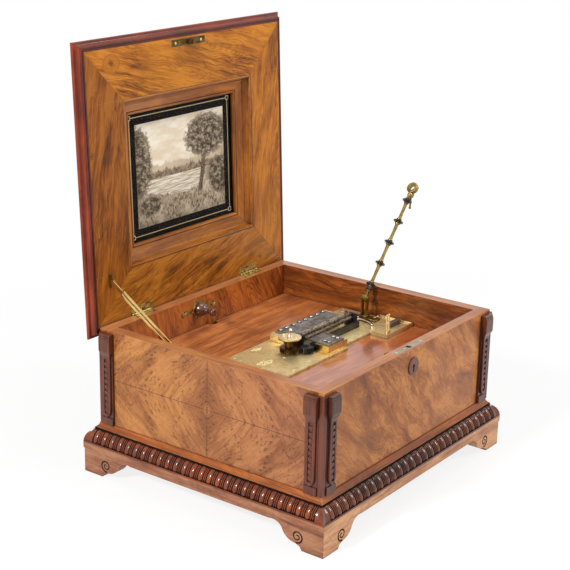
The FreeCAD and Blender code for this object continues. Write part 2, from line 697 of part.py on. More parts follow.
def strike():
    plate = box(s.strike_length, s.strike_thick, s.strike_width,
                (-s.strike_length / 2, 0, strike_low))
    loop = box(s.staple_thick, s.staple_drop + s.strike_thick, s.staple_width,
               (-s.staple_thick / 2, -s.staple_drop, strike_mid - s.staple_width / 2))
    eye = box(s.staple_thick, s.staple_eye, s.staple_eye,
              (-s.staple_thick / 2, -s.eye_drop - s.staple_eye / 2, strike_mid - s.staple_eye / 2))
    node("lid_strike_plate", on_lid(cut(joined(plate, loop), eye)))


def hinges():
    leaves = []
    flaps = []
    share = s.hinge_length * s.knuckle_share
    gap = s.knuckle_gap
    middle = s.hinge_length - 2 * share
    for side in (-1, 1):
        start = side * s.hinge_centre - s.hinge_length / 2
        reach = s.leaf_width - s.knuckle_gap
        flat = box(s.hinge_length, reach, s.leaf_thick,
                   (start, hinge_y - s.leaf_width, s.rim_height - s.leaf_thick))
        window = box(middle, s.groove_radius + 1, 2 * s.groove_radius,
                     (start + share, hinge_y - s.groove_radius, hinge_z - s.groove_radius))
        ends = [rod(s.knuckle_radius, share, (start, hinge_y, hinge_z), "X"),
                rod(s.knuckle_radius, share, (start + share + middle, hinge_y, hinge_z), "X")]
        pin = rod(s.pin_radius, s.hinge_length, (start, hinge_y, hinge_z), "X")
        leaves.append(joined(cut(joined(flat, *ends), window), pin))
        plate = box(s.hinge_length, s.leaf_thick, s.leaf_width - s.groove_radius,
                    (start, 0, s.groove_radius))
        tongue = box(middle - 2 * gap, s.leaf_thick, s.groove_radius,
                     (start + share + gap, 0, 0))
        barrel = rod(s.knuckle_radius, middle - 2 * gap, (start + share + gap, 0, 0), "X")
        hole = rod(s.pin_radius + s.running_fit, s.hinge_length, (start, 0, 0), "X")
        flaps.append(cut(joined(plate, tongue, barrel), hole))
    node("case_hinge_leaves", group(*leaves))
    node("lid_hinge_leaves", on_lid(group(*flaps)))


stay_x = s.stay_off - inner_width


def stay():
    # A slotted arm hangs from an ear on the lid; its far end rests over a stud on the left wall.
    out = -s.stay_pivot_out
    foot = box(s.ear_thick, s.ear_radius, s.ear_foot,
               (stay_x + s.stay_thick / 2 + s.ear_gap, -s.ear_radius, s.stay_pivot_up - s.ear_foot / 2))
    arm = box(s.ear_thick, s.stay_pivot_out, 2 * s.ear_radius,
              (stay_x + s.stay_thick / 2 + s.ear_gap, out, s.stay_pivot_up - s.ear_radius))
    start = stay_x + s.stay_thick / 2 + s.ear_gap
    eye = rod(s.ear_radius, s.ear_thick, (start, out, s.stay_pivot_up), "X")
    pin = rod(s.stay_pin, s.ear_thick + s.stay_thick + s.ear_gap + 1,
              (stay_x - s.stay_thick / 2 - 1, out, s.stay_pivot_up), "X")
    node("stay_ear", on_lid(joined(foot, arm, eye, pin)))
    half = s.stay_width / 2
    slim = s.neck_width / 2
    slot = s.stay_slot / 2
    neck = s.stay_neck
    far = s.stay_length
    blade = [(0, -slim, half_round(slim)), (neck, -slim), (neck + 4, -half), (far, -half),
             (far, half, half_round(half)), (neck + 4, half), (neck, slim), (0, slim)]
    body = slab("YZ", blade, s.stay_thick, holes=[(0, 0, s.stay_pin + s.running_fit)],
                middle=True)
    cutter = body.newObject("PartDesign::Pocket", "Slot")
    opening = [(neck + half, -slot, half_round(slot)), (far, -slot), (far, slot, half_round(slot)),
               (neck + half, slot)]
    cutter.Profile = sketch_on(body, "YZ", opening)
    cutter.Type = "ThroughAll"
    cutter.SideType = "Symmetric"
    lean = s.lid_lean
    pivot_y = hinge_y + s.stay_pivot_up * sine(lean) - s.stay_pivot_out * cosine(lean)
    pivot_z = hinge_z + s.stay_pivot_up * cosine(lean) + s.stay_pivot_out * sine(lean)
    turn = Rotation(Vector(1, 0, 0), s.stay_angle.number)
    place(body, (stay_x, pivot_y, pivot_z), turn)
    node("lid_stay", body)
    end_y = pivot_y + (s.stay_length - s.stud_back) * cosine(s.stay_angle)
    end_z = pivot_z + (s.stay_length - s.stud_back) * sine(s.stay_angle)
    plate = box(s.stud_plate_thick, s.stud_plate, s.stud_plate / 2,
                (-inner_width, end_y - s.stud_plate * 0.75, end_z - s.stud_plate / 4))
    reach = stay_x - s.stay_thick / 2 - s.ear_gap + inner_width
    stud = rod(s.stud_radius, reach, (-inner_width, end_y, end_z), "X")
    node("stay_stud", joined(plate, stud))


def wall_knob():
    # A turned handle on a lobed plate, low on the inside of the back wall.
    y = inner_depth
    thick = s.knob_plate_thick
    boss = s.knob_boss
    lobe = s.knob_lobe
    reach = s.knob_lobe_reach
    plate = joined(
        rod(boss, thick, (s.knob_x, y - thick, knob_z), "Y"),
        rod(lobe, thick, (s.knob_x - reach, y - thick, knob_z), "Y"),
        rod(lobe, thick, (s.knob_x + reach, y - thick, knob_z), "Y"),
        box(2 * reach, thick, lobe, (s.knob_x - reach, y - thick, knob_z - lobe / 2)))
    hole = rod(s.knob_arbor + s.plate_gap, thick, (s.knob_x, y - thick, knob_z), "Y")
    node("knob_plate", cut(plate, hole))
    big = s.knob_radius
    flange = s.knob_length * 0.2
    profile = [(0, -s.knob_arbor_depth - thick), (s.knob_arbor, -s.knob_arbor_depth - thick),
               (s.knob_arbor, s.plate_gap), (big, s.plate_gap), (big, flange * 0.6),
               (s.knob_waist, flange * 1.8), (s.knob_end, s.knob_length - 5),
               (s.knob_end, s.knob_length), (0, s.knob_length)]
    node("wall_knob", turned(profile, (s.knob_x, y - thick, knob_z), Rotation(Vector(1, 0, 0), 90)))


# ---- bedplate and motor

idler_x = spindle_x + (s.drive_teeth + s.idler_teeth) * s.gear_module / 2 * cosine(s.idler_angle)
idler_y = (s.drive_teeth + s.idler_teeth) * s.gear_module / 2 * sine(s.idler_angle)
great_reach = (s.great_teeth + s.pinion_teeth) * s.gear_module / 2
barrel_x = idler_x + Size(math.sqrt(great_reach.number ** 2 - idler_y.number ** 2),
                          f"sqrt({great_reach.text} ^ 2 - {idler_y.text} ^ 2)")
fan_x = barrel_x + (s.great_teeth + s.fan_teeth) * s.gear_module / 2
upper_plate_top = bed_top - s.frame_drop
lower_plate_foot = upper_plate_top - s.frame_tall
great_low = upper_plate_top - s.great_drop - s.great_thick
seat_top = bed_top + s.seat_rise


def bedplate():
    outline = [(bed_left, s.bed_front), (bed_step, s.bed_front), (bed_step, s.bed_step_front),
               (bed_notch, s.bed_step_front), (bed_notch, s.bed_notch_front),
               (bed_right, s.bed_notch_front), (bed_right, s.bed_back), (bed_left, s.bed_back)]
    holes = [(idler_x, idler_y, s.idler_arbor + s.running_fit)]
    node("bedplate", slab("XY", outline, s.bed_thick, (0, 0, bed_top - s.bed_thick), holes))
    left = bed_notch + s.board_gap
    back = s.bed_notch_front - s.board_gap
    floor = box(end_plate_right - left, back - s.end_plate_front, s.bed_thick,
                (left, s.end_plate_front, bed_top - s.bed_thick))
    rim = [box(end_plate_right - left, s.end_rim, s.end_rim_height,
               (left, s.end_plate_front, bed_top)),
           box(s.end_rim, back - s.end_plate_front, s.end_rim_height,
               (end_plate_right - s.end_rim, s.end_plate_front, bed_top)),
           box(s.end_rim, s.bed_step_front - s.board_gap - s.end_plate_front, s.end_rim_height,
               (left, s.end_plate_front, bed_top))]
    node("end_plate", joined(floor, *rim, *lever_bracket()))


def gear(teeth, thick, x, y, z, phase):
    # Straight flanks laid inside the involute, so that the wheels clear each other as they turn.
    count = int(teeth.number)
    module = s.gear_module.number
    pitch = module * count / 2
    tip = pitch + module - s.mesh_gap.number
    root = pitch - module * 1.15
    base = pitch * math.cos(math.radians(20))
    roll = math.tan(math.radians(20)) - math.radians(20)

    def half_angle(radius):
        steep = math.acos(min(base / radius, 1)) if radius > base else 0
        width = math.pi / 2 / count - s.gear_backlash.number / 2 / pitch
        return width + roll - (math.tan(steep) - steep)

    points = []
    for tooth in range(count):
        middle = math.radians(phase) + 2 * math.pi * tooth / count
        spread = ((root, -half_angle(root)), (tip, -half_angle(tip)),
                  (tip, half_angle(tip)), (root, half_angle(root)))
        for radius, turn in spread:
            points.append(Vector(radius * math.cos(middle + turn), radius * math.sin(middle + turn), 0))
    face = Part.Face(Part.makePolygon(points + points[:1]))
    return place(made(face.extrude(Vector(0, 0, thick.number)), "Wheel"), (x, y, z))


def mesh_phase(teeth, towards, other_teeth, other_phase):
    # Where a follower's first tooth points, so that its gap meets the other wheel's tooth.
    pitch_angle = 360 / other_teeth
    offset = (towards - other_phase) / pitch_angle
    return towards + 180 + 180 / teeth + (offset - round(offset)) * 360 / teeth


def drive():
    floor = bed_top
    z = floor + s.gear_lift
    sleeve_foot = floor + 1.5
    neck = seat_top - s.seat_thick
    pin = s.spindle_radius
    pin_top = seat_top + s.pin_length
    ball = bed_top + s.ball_rise
    post = [(0, floor), (s.washer_radius, floor), (s.washer_radius, floor + 1.2),
            (s.shaft_radius, floor + 1.2), (s.shaft_radius, seat_top), (pin, seat_top), (pin, pin_top),
            (s.spindle_neck, pin_top), (s.spindle_neck, ball - pin * 0.8), (pin * 0.95, ball - pin * 0.4),
            (pin * 0.95, ball + pin * 0.4), (pin * 0.5, ball + pin), (0, ball + pin)]
    node("spindle", turned(post, (spindle_x, 0, 0)))
    idler_phase = 0
    drive_phase = mesh_phase(s.drive_teeth.number, s.idler_angle.number + 180,
                             s.idler_teeth.number, idler_phase)
    wheel = gear(s.drive_teeth, s.gear_height, spindle_x, 0, z, drive_phase)
    column = prism(s.sleeve_radius, neck - sleeve_foot, (spindle_x, 0, sleeve_foot), 16)
    dish = [(0, neck), (s.seat_radius - 2, neck), (s.seat_radius, neck + 1.5),
            (s.seat_radius, seat_top), (0, seat_top)]
    seat = turned(dish, (spindle_x, 0, 0))
    pegs = [prism(s.peg_radius, s.peg_height + 1, (spindle_x, side * s.peg_reach, seat_top - 1), 12)
            for side in (-1, 1)]
    bore = prism(s.shaft_radius + s.running_fit, seat_top - sleeve_foot,
                 (spindle_x, 0, sleeve_foot), 16, True)
    node("drive_wheel", cut(joined(wheel, column, seat, *pegs), bore))
    upper = gear(s.idler_teeth, s.gear_height + 2, idler_x, idler_y, z - 1, idler_phase)
    pinion_low = great_low - 1
    towards = math.degrees(math.atan2(-idler_y.number, barrel_x.number - idler_x.number))
    lower = gear(s.pinion_teeth, s.great_thick + 2, idler_x, idler_y, pinion_low, 0)
    arbor = rod(s.idler_arbor, z + s.gear_height + 4 - lower_plate_foot - 1,
                (idler_x, idler_y, lower_plate_foot + 1))
    node("drive_idler", joined(upper, lower, arbor))
    return towards


def motor(towards):
    low = lower_plate_foot
    under = upper_plate_top - s.plate_thick
    fit = s.running_fit
    great_phase = mesh_phase(s.great_teeth.number, towards + 180, s.pinion_teeth.number, 0)
    wheel = gear(s.great_teeth, s.great_thick, barrel_x, 0, great_low, great_phase)
    drum = rod(s.drum_radius, s.drum_height + 1, (barrel_x, 0, great_low - s.drum_height))
    bore = prism(s.arbor_radius + fit, s.drum_height + s.great_thick + 2,
                 (barrel_x, 0, great_low - s.drum_height - 1), 12, True)
    node("spring_barrel", cut(joined(wheel, drum), bore))
    plates = []
    corners = []
    inset = s.pillar_inset
    for x in (frame_left + inset, frame_right - inset):
        for y in (s.frame_half - inset, inset - s.frame_half):
            corners.append((x, y))
    for z in (low, under):
        plate = box(frame_right - frame_left, 2 * s.frame_half, s.plate_thick,
                    (frame_left, -s.frame_half, z))
        bearings = [prism(radius + fit, s.plate_thick, (x, y, z), 8, True) for radius, x, y in
                    ((s.idler_arbor, idler_x, idler_y), (s.arbor_radius, barrel_x, 0),
                     (s.fan_arbor, fan_x, 0))]
        plates.append(cut(plate, *bearings))
    pillars = [prism(s.pillar_radius, bed_top - s.bed_thick - low, (x, y, low), 8) for x, y in corners]
    ratchet_top = low - s.ratchet_gap
    arbor_foot = ratchet_top - s.ratchet_thick - s.tail
    arbor = rod(s.arbor_radius, upper_plate_top - arbor_foot, (barrel_x, 0, arbor_foot))
    node("barrel_arbor", joined(arbor, ratchet(ratchet_top - s.ratchet_thick)))
    pivot_y = s.ratchet_radius + s.click_gap + s.click_width / 2
    click = box(s.click_length, s.click_width, s.ratchet_thick,
                (barrel_x - s.click_length / 2, pivot_y - s.click_width / 2,
                 ratchet_top - s.ratchet_thick))
    screw = prism(s.click_width * 0.4, s.ratchet_thick + s.ratchet_gap,
                  (barrel_x - s.click_length / 2 + 3, pivot_y, ratchet_top - s.ratchet_thick), 8)
    node("motor_frame", joined(*plates, *pillars, click, screw))
    fan_phase = mesh_phase(s.fan_teeth.number, 0, s.great_teeth.number, great_phase)
    pinion = gear(s.fan_teeth, s.great_thick + 2, fan_x, 0, great_low - 1, fan_phase)
    staff = rod(s.fan_arbor, upper_plate_top - low - 1, (fan_x, 0, low + 1))
    vane = box(2 * s.fan_radius, s.fan_thick, s.fan_height,
               (fan_x - s.fan_radius, -s.fan_thick / 2, low + s.fan_lift))
    node("governor_fan", joined(pinion, staff, vane))


def ratchet(z):
    count = int(s.ratchet_teeth.number)
    outer = s.ratchet_radius.number
    inner = outer * 0.82
    points = []
    for tooth in range(count):
        start = 2 * math.pi * tooth / count
        for radius, share in ((inner, 0.02), (outer, 0.98)):
            angle = start + share * 2 * math.pi / count
            points.append(Vector(radius * math.cos(angle), radius * math.sin(angle), 0))
    face = Part.Face(Part.makePolygon(points + points[:1]))
    return place(made(face.extrude(Vector(0, 0, s.ratchet_thick.number)), "Ratchet"), (barrel_x, 0, z))


# ---- combs, star wheels and their base

track_span = s.tooth_pitch * (s.tooth_count - 1)
last_track = first_track + track_span
comb_top = bed_top + s.comb_rise
wheel_height = comb_top + s.wheel_above


def comb_plate(left, count, tips, root, heel, top):
    # A steel plate whose slots leave one tooth per track, all reaching for the star wheels.
    right = left + s.tooth_pitch * count
    body = slab("XY", rectangle(left, tips, right, heel), s.comb_thick, (0, 0, top - s.comb_thick))
    first = left + s.tooth_pitch - s.tooth_slot / 2
    past = (tips - root) / 10
    kerf = rectangle(first, root, first + s.tooth_slot, tips + past)
    slot = body.newObject("PartDesign::Pocket", "Kerf")
    slot.Profile = sketch_on(body, "XY", kerf)
    slot.Type = "ThroughAll"
    slot.SideType = "Symmetric"
    doc.recompute()
    row = body.newObject("PartDesign::LinearPattern", "Kerfs")
    row.Originals = [slot]
    row.Direction = (slot.Profile[0], ["H_Axis"])
    bind(row, "Length", s.tooth_pitch * (count - 2))
    row.Occurrences = int(count.number) - 1
    body.Tip = row
    return body


def combs():
    left = first_track - s.tooth_pitch / 2
    node("long_comb", comb_plate(left, s.tooth_count, s.tip_line, s.comb_root, s.comb_back, comb_top))
    base_low = bed_top
    span = s.tooth_pitch * s.tooth_count
    comb_low = comb_top - s.comb_thick
    heel = [(s.comb_root + 2, base_low), (s.base_back, base_low), (s.base_back, comb_low),
            (s.comb_root + 2, comb_low)]
    riser = slab("YZ", heel, span + 2 * s.base_overrun, (left - s.base_overrun, 0, 0))
    toe = box(span + 2 * s.base_overrun, s.comb_root + 2 - s.base_front, s.rail_height / 2,
              (left - s.base_overrun, s.base_front, base_low))
    node("comb_base", joined(riser, toe))
    screws = []
    step = span / s.screw_count
    for index in range(int(s.screw_count.number)):
        at = (left + step * (index + 0.5), (s.comb_root + s.comb_back) / 2 + 2, comb_top)
        screws.append(prism(s.screw_head, s.screw_head_height, at, 12))
    front = comb_plate(front_comb_left, s.front_comb_teeth, -s.tip_line, s.front_comb_root,
                       s.front_comb_front, comb_top)
    node("front_comb", front)
    wide = s.tooth_pitch * s.front_comb_teeth
    for side in (0.22, 0.78):
        for deep in (0.3, 0.7):
            y = s.front_comb_front + (s.front_comb_root - s.front_comb_front) * deep
            at = (front_comb_left + wide * side, y, comb_top)
            screws.append(prism(s.screw_head, s.screw_head_height, at, 12))
    node("comb_screws", group(*screws))
    node("front_comb_base", box(wide + 2 * s.front_base_over, s.front_base_back - s.front_base_front,
                                comb_low - base_low,
                                (front_comb_left - s.front_base_over, s.front_base_front, base_low)))


def around(radii):
    # a closed ring of points about the X axis, evenly turned
    ring = []
    for index, radius in enumerate(radii):
        angle = 2 * math.pi * index / len(radii)
        ring.append(Vector(0, radius * math.cos(angle), radius * math.sin(angle)))
    return ring + ring[:1]


def star_wheels():
    count = int(s.wheel_points.number)
    outer = s.wheel_radius.number
    root = s.wheel_root.number
    points = around([outer if index % 2 == 0 else root for index in range(2 * count)])
    # the flats of the six-sided bore lie on the arbor
    corner = (s.wheel_arbor.number + s.running_fit.number) / math.cos(math.pi / 6)
    thick = Vector(s.wheel_thick.number, 0, 0)
    bore = Part.Face(Part.makePolygon(around([corner] * 6))).extrude(thick)
    star = Part.Face(Part.makePolygon(points)).extrude(thick).cut(bore)
    wheels = []
    for index in range(int(s.tooth_count.number)):
        wheel = star.copy()
        wheel.translate(Vector(index * s.tooth_pitch.number, 0, 0))
        wheels.append(wheel)
    row = made(Part.makeCompound(wheels), "Stars")
    node("star_wheels", place(row, (first_track - s.wheel_thick / 2, 0, wheel_height)))
    left = first_track - s.tooth_pitch - s.cheek_thick
    right = last_track + s.tooth_pitch
    span = right + s.cheek_thick - left
    cheeks = [rod(s.wheel_arbor, span, (left, 0, wheel_height), "X")]
    tall = wheel_height + s.wheel_root - bed_top
    for x in (left, right):
        front = s.rail_back - 1 if x is right else s.cheek_front
        cheeks.append(box(s.cheek_thick, s.cheek_back - front, tall, (x, front, bed_top)))
    start = front_comb_left + s.tooth_pitch * s.front_comb_teeth + s.front_base_over
    cheeks.append(box(right + s.cheek_thick - start, s.rail_back - s.rail_front, s.rail_height,
                      (start, s.rail_front, bed_top)))
    # an iron guard stands beside the idler
    tip = (s.idler_teeth / 2 + 1) * s.gear_module
    cheeks.append(box(s.guard_width, s.guard_depth, s.guard_height,
                      (idler_x + tip + s.guard_gap, s.front_base_back + s.board_gap, bed_top)))
    node("star_gantry", joined(*cheeks))


# ---- pressure bar, drawn lying along +X from its pivot, its upper side when lowered facing -Z

pivot_height = bed_top + s.pivot_rise
hub_reach = pivot_x - spindle_x
roller_step = (hub_reach - 2 * s.roller_first) / (s.roller_count - 1)
latch_reach = hub_reach - s.latch_back


def on_bar(thing, at=(0, 0, 0), turn=None):
    raised = Placement(Vector(pivot_x.number, 0, pivot_height.number),
                       Rotation(Vector(0, 1, 0), -s.bar_raised.number))
    local = [as_size(item) for item in at]
    offset = Placement(Vector(*[item.number for item in local]), turn or Rotation())
    whole = raised.multiply(offset)
    thing.Placement = whole
    run, rise = cosine(s.bar_raised), sine(s.bar_raised)
    bind(thing, "Placement.Base.x", pivot_x + local[0] * run - local[2] * rise)
    bind(thing, "Placement.Base.y", local[1])
    bind(thing, "Placement.Base.z", pivot_height + local[0] * rise + local[2] * run)
    return thing


def pressure_bar():
    half = s.yoke_half
    start = s.yoke_length
    eye = rod(half + 2, 2 * half, (0, -half, 0), "Y")
    tongue = box(start, 2 * half, 2 * half, (0, -half, -half))
    shaft = rod(s.rod_radius, hub_reach - s.hub_radius - start + 3, (start - 1, 0, 0), "X")
    hub = rod(s.hub_radius, s.hub_thick, (hub_reach, 0, -s.hub_thick / 2))
    ears = [box(8, s.latch_ear, s.latch_rise + 2,
                (latch_reach - 4, side * (s.latch_width / 2 + s.cheek_gap + s.latch_ear / 2)
                 - s.latch_ear / 2, -s.latch_rise - 2)) for side in (-1, 1)]
    blank = joined(eye, tongue, shaft, hub, *ears)
    pin_hole = rod(s.pivot_pin + s.running_fit, 2 * half, (0, -half, 0), "Y")
    bore = rod(s.hub_bore, s.hub_thick, (hub_reach, 0, -s.hub_thick / 2))
    wide = s.latch_width + 2 * (s.cheek_gap + s.latch_ear)
    pin = rod(s.latch_pin, wide, (latch_reach, -wide / 2, -s.latch_rise), "Y")
    node("pressure_bar", on_bar(joined(cut(blank, pin_hole, bore), pin)))


def latch():
    # A sprung catch over the hub; its curled tail is the finger piece.
    rise = s.latch_rise
    long = s.latch_length
    tip = s.latch_tip
    side = [(7, 1.6), (-1, 2.2), (-3.2, 1), (-long, 2 - tip), (1.4 - long, -tip), (-2.6, -2.4),
            (1.5, -2.4), (7, -0.4)]
    body = slab("XZ", side, s.latch_width, holes=[(0, 0, s.latch_pin + s.running_fit)])
    node("bar_latch", on_bar(body, (latch_reach, -s.latch_width / 2, -rise)))


def rollers():
    rim = s.roller_rim / 2
    bore = s.rod_radius + s.running_fit
    profile = rectangle(bore, -rim, s.roller_radius, rim)
    for index in range(int(s.roller_count.number)):
        reach = s.roller_first + roller_step * index
        piece = turned(profile)
        node(f"roller_{index + 1}", on_bar(piece, (reach, 0, 0), turns["X"]))


def bar_post():
    floor = bed_top
    foot_top = floor + s.post_foot
    foot = box(s.foot_before + s.foot_after, s.foot_back - s.foot_front, s.post_foot,
               (pivot_x - s.foot_before, s.foot_front, floor))
    inner = s.yoke_half + s.cheek_gap
    wide = s.post_width
    half = wide / 2
    head = pivot_height - foot_top
    outline = [(-half, -1), (half, -1), (half, head), (-half, head, half_round(half))]
    cheeks = [slab("XZ", outline, s.post_cheek, (pivot_x, y, foot_top))
              for y in (-inner - s.post_cheek, inner)]
    pin = rod(s.pivot_pin, 2 * inner + 2, (pivot_x, -inner - 1, pivot_height), "Y")
    node("bar_post", joined(foot, *cheeks, pin))


def lever_bracket():
    reach = s.lever_thick / 2 + s.lever_gap
    left = lever_x - s.lever_width / 2
    z = bed_top + s.lever_pin_height
    pieces = [rod(s.lever_pin, 2 * (reach + s.lever_cheek),
                  (lever_x, s.lever_y - reach - s.lever_cheek, z), "Y")]
    for edge in (s.lever_y - reach - s.lever_cheek, s.lever_y + reach):
        pieces.append(box(s.lever_width, s.lever_cheek, 2 * s.lever_pin_height - 1,
                          (left, edge, bed_top)))
    return pieces


def start_lever():
    floor = bed_top
    z = floor + s.lever_pin_height
    x = lever_x
    y = s.lever_y
    half = s.lever_width / 2
    thick = s.lever_thick
    tall = s.lever_height
    blade = [(-half, 1 - s.lever_pin_height + s.lever_gap), (half, 1 - s.lever_pin_height + s.lever_gap),
             (half, tall - half), (-half, tall - half, half_round(half))]
    lever = slab("XZ", blade, thick, (x, y - thick / 2, z),
                 [(0, 0, s.lever_pin + s.running_fit)])
    node("start_lever", lever)
    block = box(s.spring_block, s.spring_width, s.spring_leaf * 2 * s.spring_leaves,
                (spring_x + s.spring_length / 2 - s.spring_block, s.spring_y, floor))
    leaves = [box(s.spring_length, s.spring_width, s.spring_leaf,
                  (spring_x - s.spring_length / 2, s.spring_y,
                   floor + s.spring_leaf * (2 * index + 1))) for index in range(int(s.spring_leaves.number))]
    node("stop_spring", joined(block, *leaves))


walls()
plinth()
mouldings()
pilasters()
deck()
lock()
lid_rails()
lid_edge()
lid_panel()
picture()
strike()
hinges()
stay()
wall_knob()
bedplate()
motor(drive())
combs()
star_wheels()
pressure_bar()
latch()
rollers()
bar_post()
start_lever()
doc.recompute()

failed = [item for item in doc.Objects if "Invalid" in item.State or "Error" in item.State]
if failed:
    raise RuntimeError(f"failed: {[(item.Label, [user.Label for user in item.InList]) for item in failed]}")
for item in nodes:
    if item.Shape.isNull() or not item.Shape.isValid() or not item.Shape.Solids:
        raise RuntimeError(f"{item.Label} has no valid solid")

# The row's origin is the middle of the whole object's footprint, lid and bar included, on the floor.
whole = Part.makeCompound([item.Shape for item in nodes]).BoundBox
shift = Vector(-(whole.XMin + whole.XMax) / 2, -(whole.YMin + whole.YMax) / 2, -whole.ZMin)
print(f"shift {shift.x:.4f} {shift.y:.4f} {shift.z:.4f}")
os.makedirs("parts", exist_ok=True)
for item in nodes:
    shape = item.Shape.copy()
    shape.translate(shift)
    shape.exportStep(f"parts/{item.Label}.step")
print(f"{len(nodes)} nodes, {sum(len(item.Shape.Solids) for item in nodes)} solids")
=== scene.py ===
import bpy
import bmesh
import math
import random
from mathutils import Matrix, Vector


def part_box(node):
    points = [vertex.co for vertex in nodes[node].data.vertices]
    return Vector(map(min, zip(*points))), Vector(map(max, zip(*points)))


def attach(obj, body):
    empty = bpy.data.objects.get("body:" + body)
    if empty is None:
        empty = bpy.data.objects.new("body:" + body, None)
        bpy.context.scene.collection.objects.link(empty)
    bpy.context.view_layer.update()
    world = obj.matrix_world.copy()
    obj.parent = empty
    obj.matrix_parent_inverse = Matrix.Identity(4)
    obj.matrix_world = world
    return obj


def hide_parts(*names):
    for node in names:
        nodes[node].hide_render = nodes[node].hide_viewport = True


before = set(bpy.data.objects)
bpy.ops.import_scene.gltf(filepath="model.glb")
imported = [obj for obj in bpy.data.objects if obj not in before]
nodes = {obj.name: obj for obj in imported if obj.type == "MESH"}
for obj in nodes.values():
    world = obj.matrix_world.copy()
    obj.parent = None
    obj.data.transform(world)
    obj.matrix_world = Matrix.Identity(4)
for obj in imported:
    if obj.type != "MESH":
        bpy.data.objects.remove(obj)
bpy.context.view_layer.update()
random.seed(7)

# the case's middle on the floor, from which the maker's measures run
mm = 0.001
walls = [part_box(side + "_wall") for side in ("left", "right", "front", "back")]
leftWall, rightWall, frontWall, backWall = walls
caseCentre = Vector(((leftWall[0].x + rightWall[1].x) / 2, (frontWall[0].y + backWall[1].y) / 2, 0))
case = {"half": (250.0, 225.0), "rimTop": 255.0, "hinge": (0, 226.2, 255.3), "lidLean": 2.64,
        "plateTop": 201.5, "barPivot": (199.5, 0, 240.5), "barLean": -50, "pictureHeight": 223.4}


def metres(point):
    return Vector([part * mm for part in point])


caseSpace = Matrix.Translation(caseCentre)
hingeLine, barPivot = [caseCentre + metres(case[key]) for key in ("hinge", "barPivot")]
lidTurn = Matrix.Rotation(-math.radians(case["lidLean"]), 4, "X")
barTurn = Matrix.Rotation(math.radians(case["barLean"]), 4, "Y")
lidSpace = Matrix.Translation(hingeLine) @ lidTurn  # z up the lid, -y its inside
barSpace = Matrix.Translation(barPivot) @ barTurn  # x along the bar


# small helpers for shader trees

screenColours = {"light", "middle", "dark", "rubbed", "dirt", "faded", "golden", "clean", "tarnish"}


def tone(red, green, blue):
    # a colour as seen on screen, 0 to 255, made linear
    def linear(level):
        level /= 255
        return level / 12.92 if level <= 0.04045 else ((level + 0.055) / 1.055) ** 2.4
    return (linear(red), linear(green), linear(blue), 1.0)


def toned(values):
    return {key: tone(*value) if key in screenColours else value for key, value in values.items()}


def addNode(tree, kind, **settings):
    node = tree.nodes.new(kind)
    for key, value in settings.items():
        setattr(node, key, value)
    return node


def feed(tree, sockets, values):
    # a link where the value comes from another node, else a plain setting
    for key, value in values.items():
        if isinstance(value, bpy.types.NodeSocket):
            tree.links.new(value, sockets[key])
        else:
            sockets[key].default_value = value


def use(tree, kind, values, output=0, **settings):
    # a node with its inputs fed, and the one output that is wanted
    node = addNode(tree, kind, **settings)
    feed(tree, node.inputs, values)
    return node.outputs[output]


def calc(tree, operation, *values, clamp=False):
    return use(tree, "ShaderNodeMath", dict(enumerate(values)), operation=operation, use_clamp=clamp)


def plus(tree, first, second):
    return calc(tree, "ADD", first, second)


def minus(tree, first, second):
    return calc(tree, "SUBTRACT", first, second)


def times(tree, first, second):
    return calc(tree, "MULTIPLY", first, second)


def scaled(tree, value, factor, offset, clamp=False):
    return calc(tree, "MULTIPLY_ADD", value, factor, offset, clamp=clamp)


def absolute(tree, value):
    return calc(tree, "ABSOLUTE", value)


def hypot(tree, first, second):
    return calc(tree, "SQRT", plus(tree, times(tree, first, first), times(tree, second, second)))


def blend(tree, factor, first, second, mode="MIX"):
    return use(tree, "ShaderNodeMix", {0: factor, 6: first, 7: second}, 2, data_type="RGBA", blend_type=mode)


def shaded(tree, colour, tint):
    return blend(tree, 1.0, colour, tint, "MULTIPLY")


def ramp(tree, value, low, high, outLow=0.0, outHigh=1.0):
    span = {"Value": value, "From Min": low, "From Max": high, "To Min": outLow, "To Max": outHigh}
    return use(tree, "ShaderNodeMapRange", span, interpolation_type="SMOOTHSTEP")


def noise(tree, vector, scale, detail=4.0, rough=0.55, distort=0.0, output="Fac"):
    return use(tree, "ShaderNodeTexNoise", {"Vector": vector, "Scale": scale, "Detail": detail,
                                            "Roughness": rough, "Distortion": distort}, output)


def moved(tree, operation, vector, by):
    return use(tree, "ShaderNodeVectorMath", {0: vector, 1: by}, operation=operation)


def grown(tree, vector, factor):
    return use(tree, "ShaderNodeVectorMath", {0: vector, "Scale": factor}, operation="SCALE")


def stretched(tree, vector, *sizes):
    return moved(tree, "MULTIPLY", vector, sizes)


def axesOf(tree, vector):
    node = addNode(tree, "ShaderNodeSeparateXYZ")
    feed(tree, node.inputs, {0: vector})
    return node.outputs


def joined(tree, x, y, z=0.0):
    return use(tree, "ShaderNodeCombineXYZ", {0: x, 1: y, 2: z})


def pickVector(tree, factor, first, second):
    return use(tree, "ShaderNodeMix", {0: factor, 4: first, 5: second}, 1, data_type="VECTOR")


def swapAxes(tree, vector, order):
    # order names which axis runs along the grain, across it and through the board
    parts = axesOf(tree, vector)
    return joined(tree, *[parts[axis] for axis in order])


def turnedGrain(tree, vector, angle, shift=(0, 0, 0)):
    return use(tree, "ShaderNodeMapping", {"Vector": vector, "Rotation": (0, 0, math.radians(angle)),
                                           "Location": shift}, vector_type="POINT")


def mixShaders(tree, factor, first, second):
    return use(tree, "ShaderNodeMixShader", {0: factor, 1: first, 2: second})


def anyRay(tree, *names):
    # whether the ray is of one of these kinds
    paths = addNode(tree, "ShaderNodeLightPath").outputs
    found = paths[names[0]]
    for name in names[1:]:
        found = calc(tree, "MAXIMUM", found, paths[name])
    return found


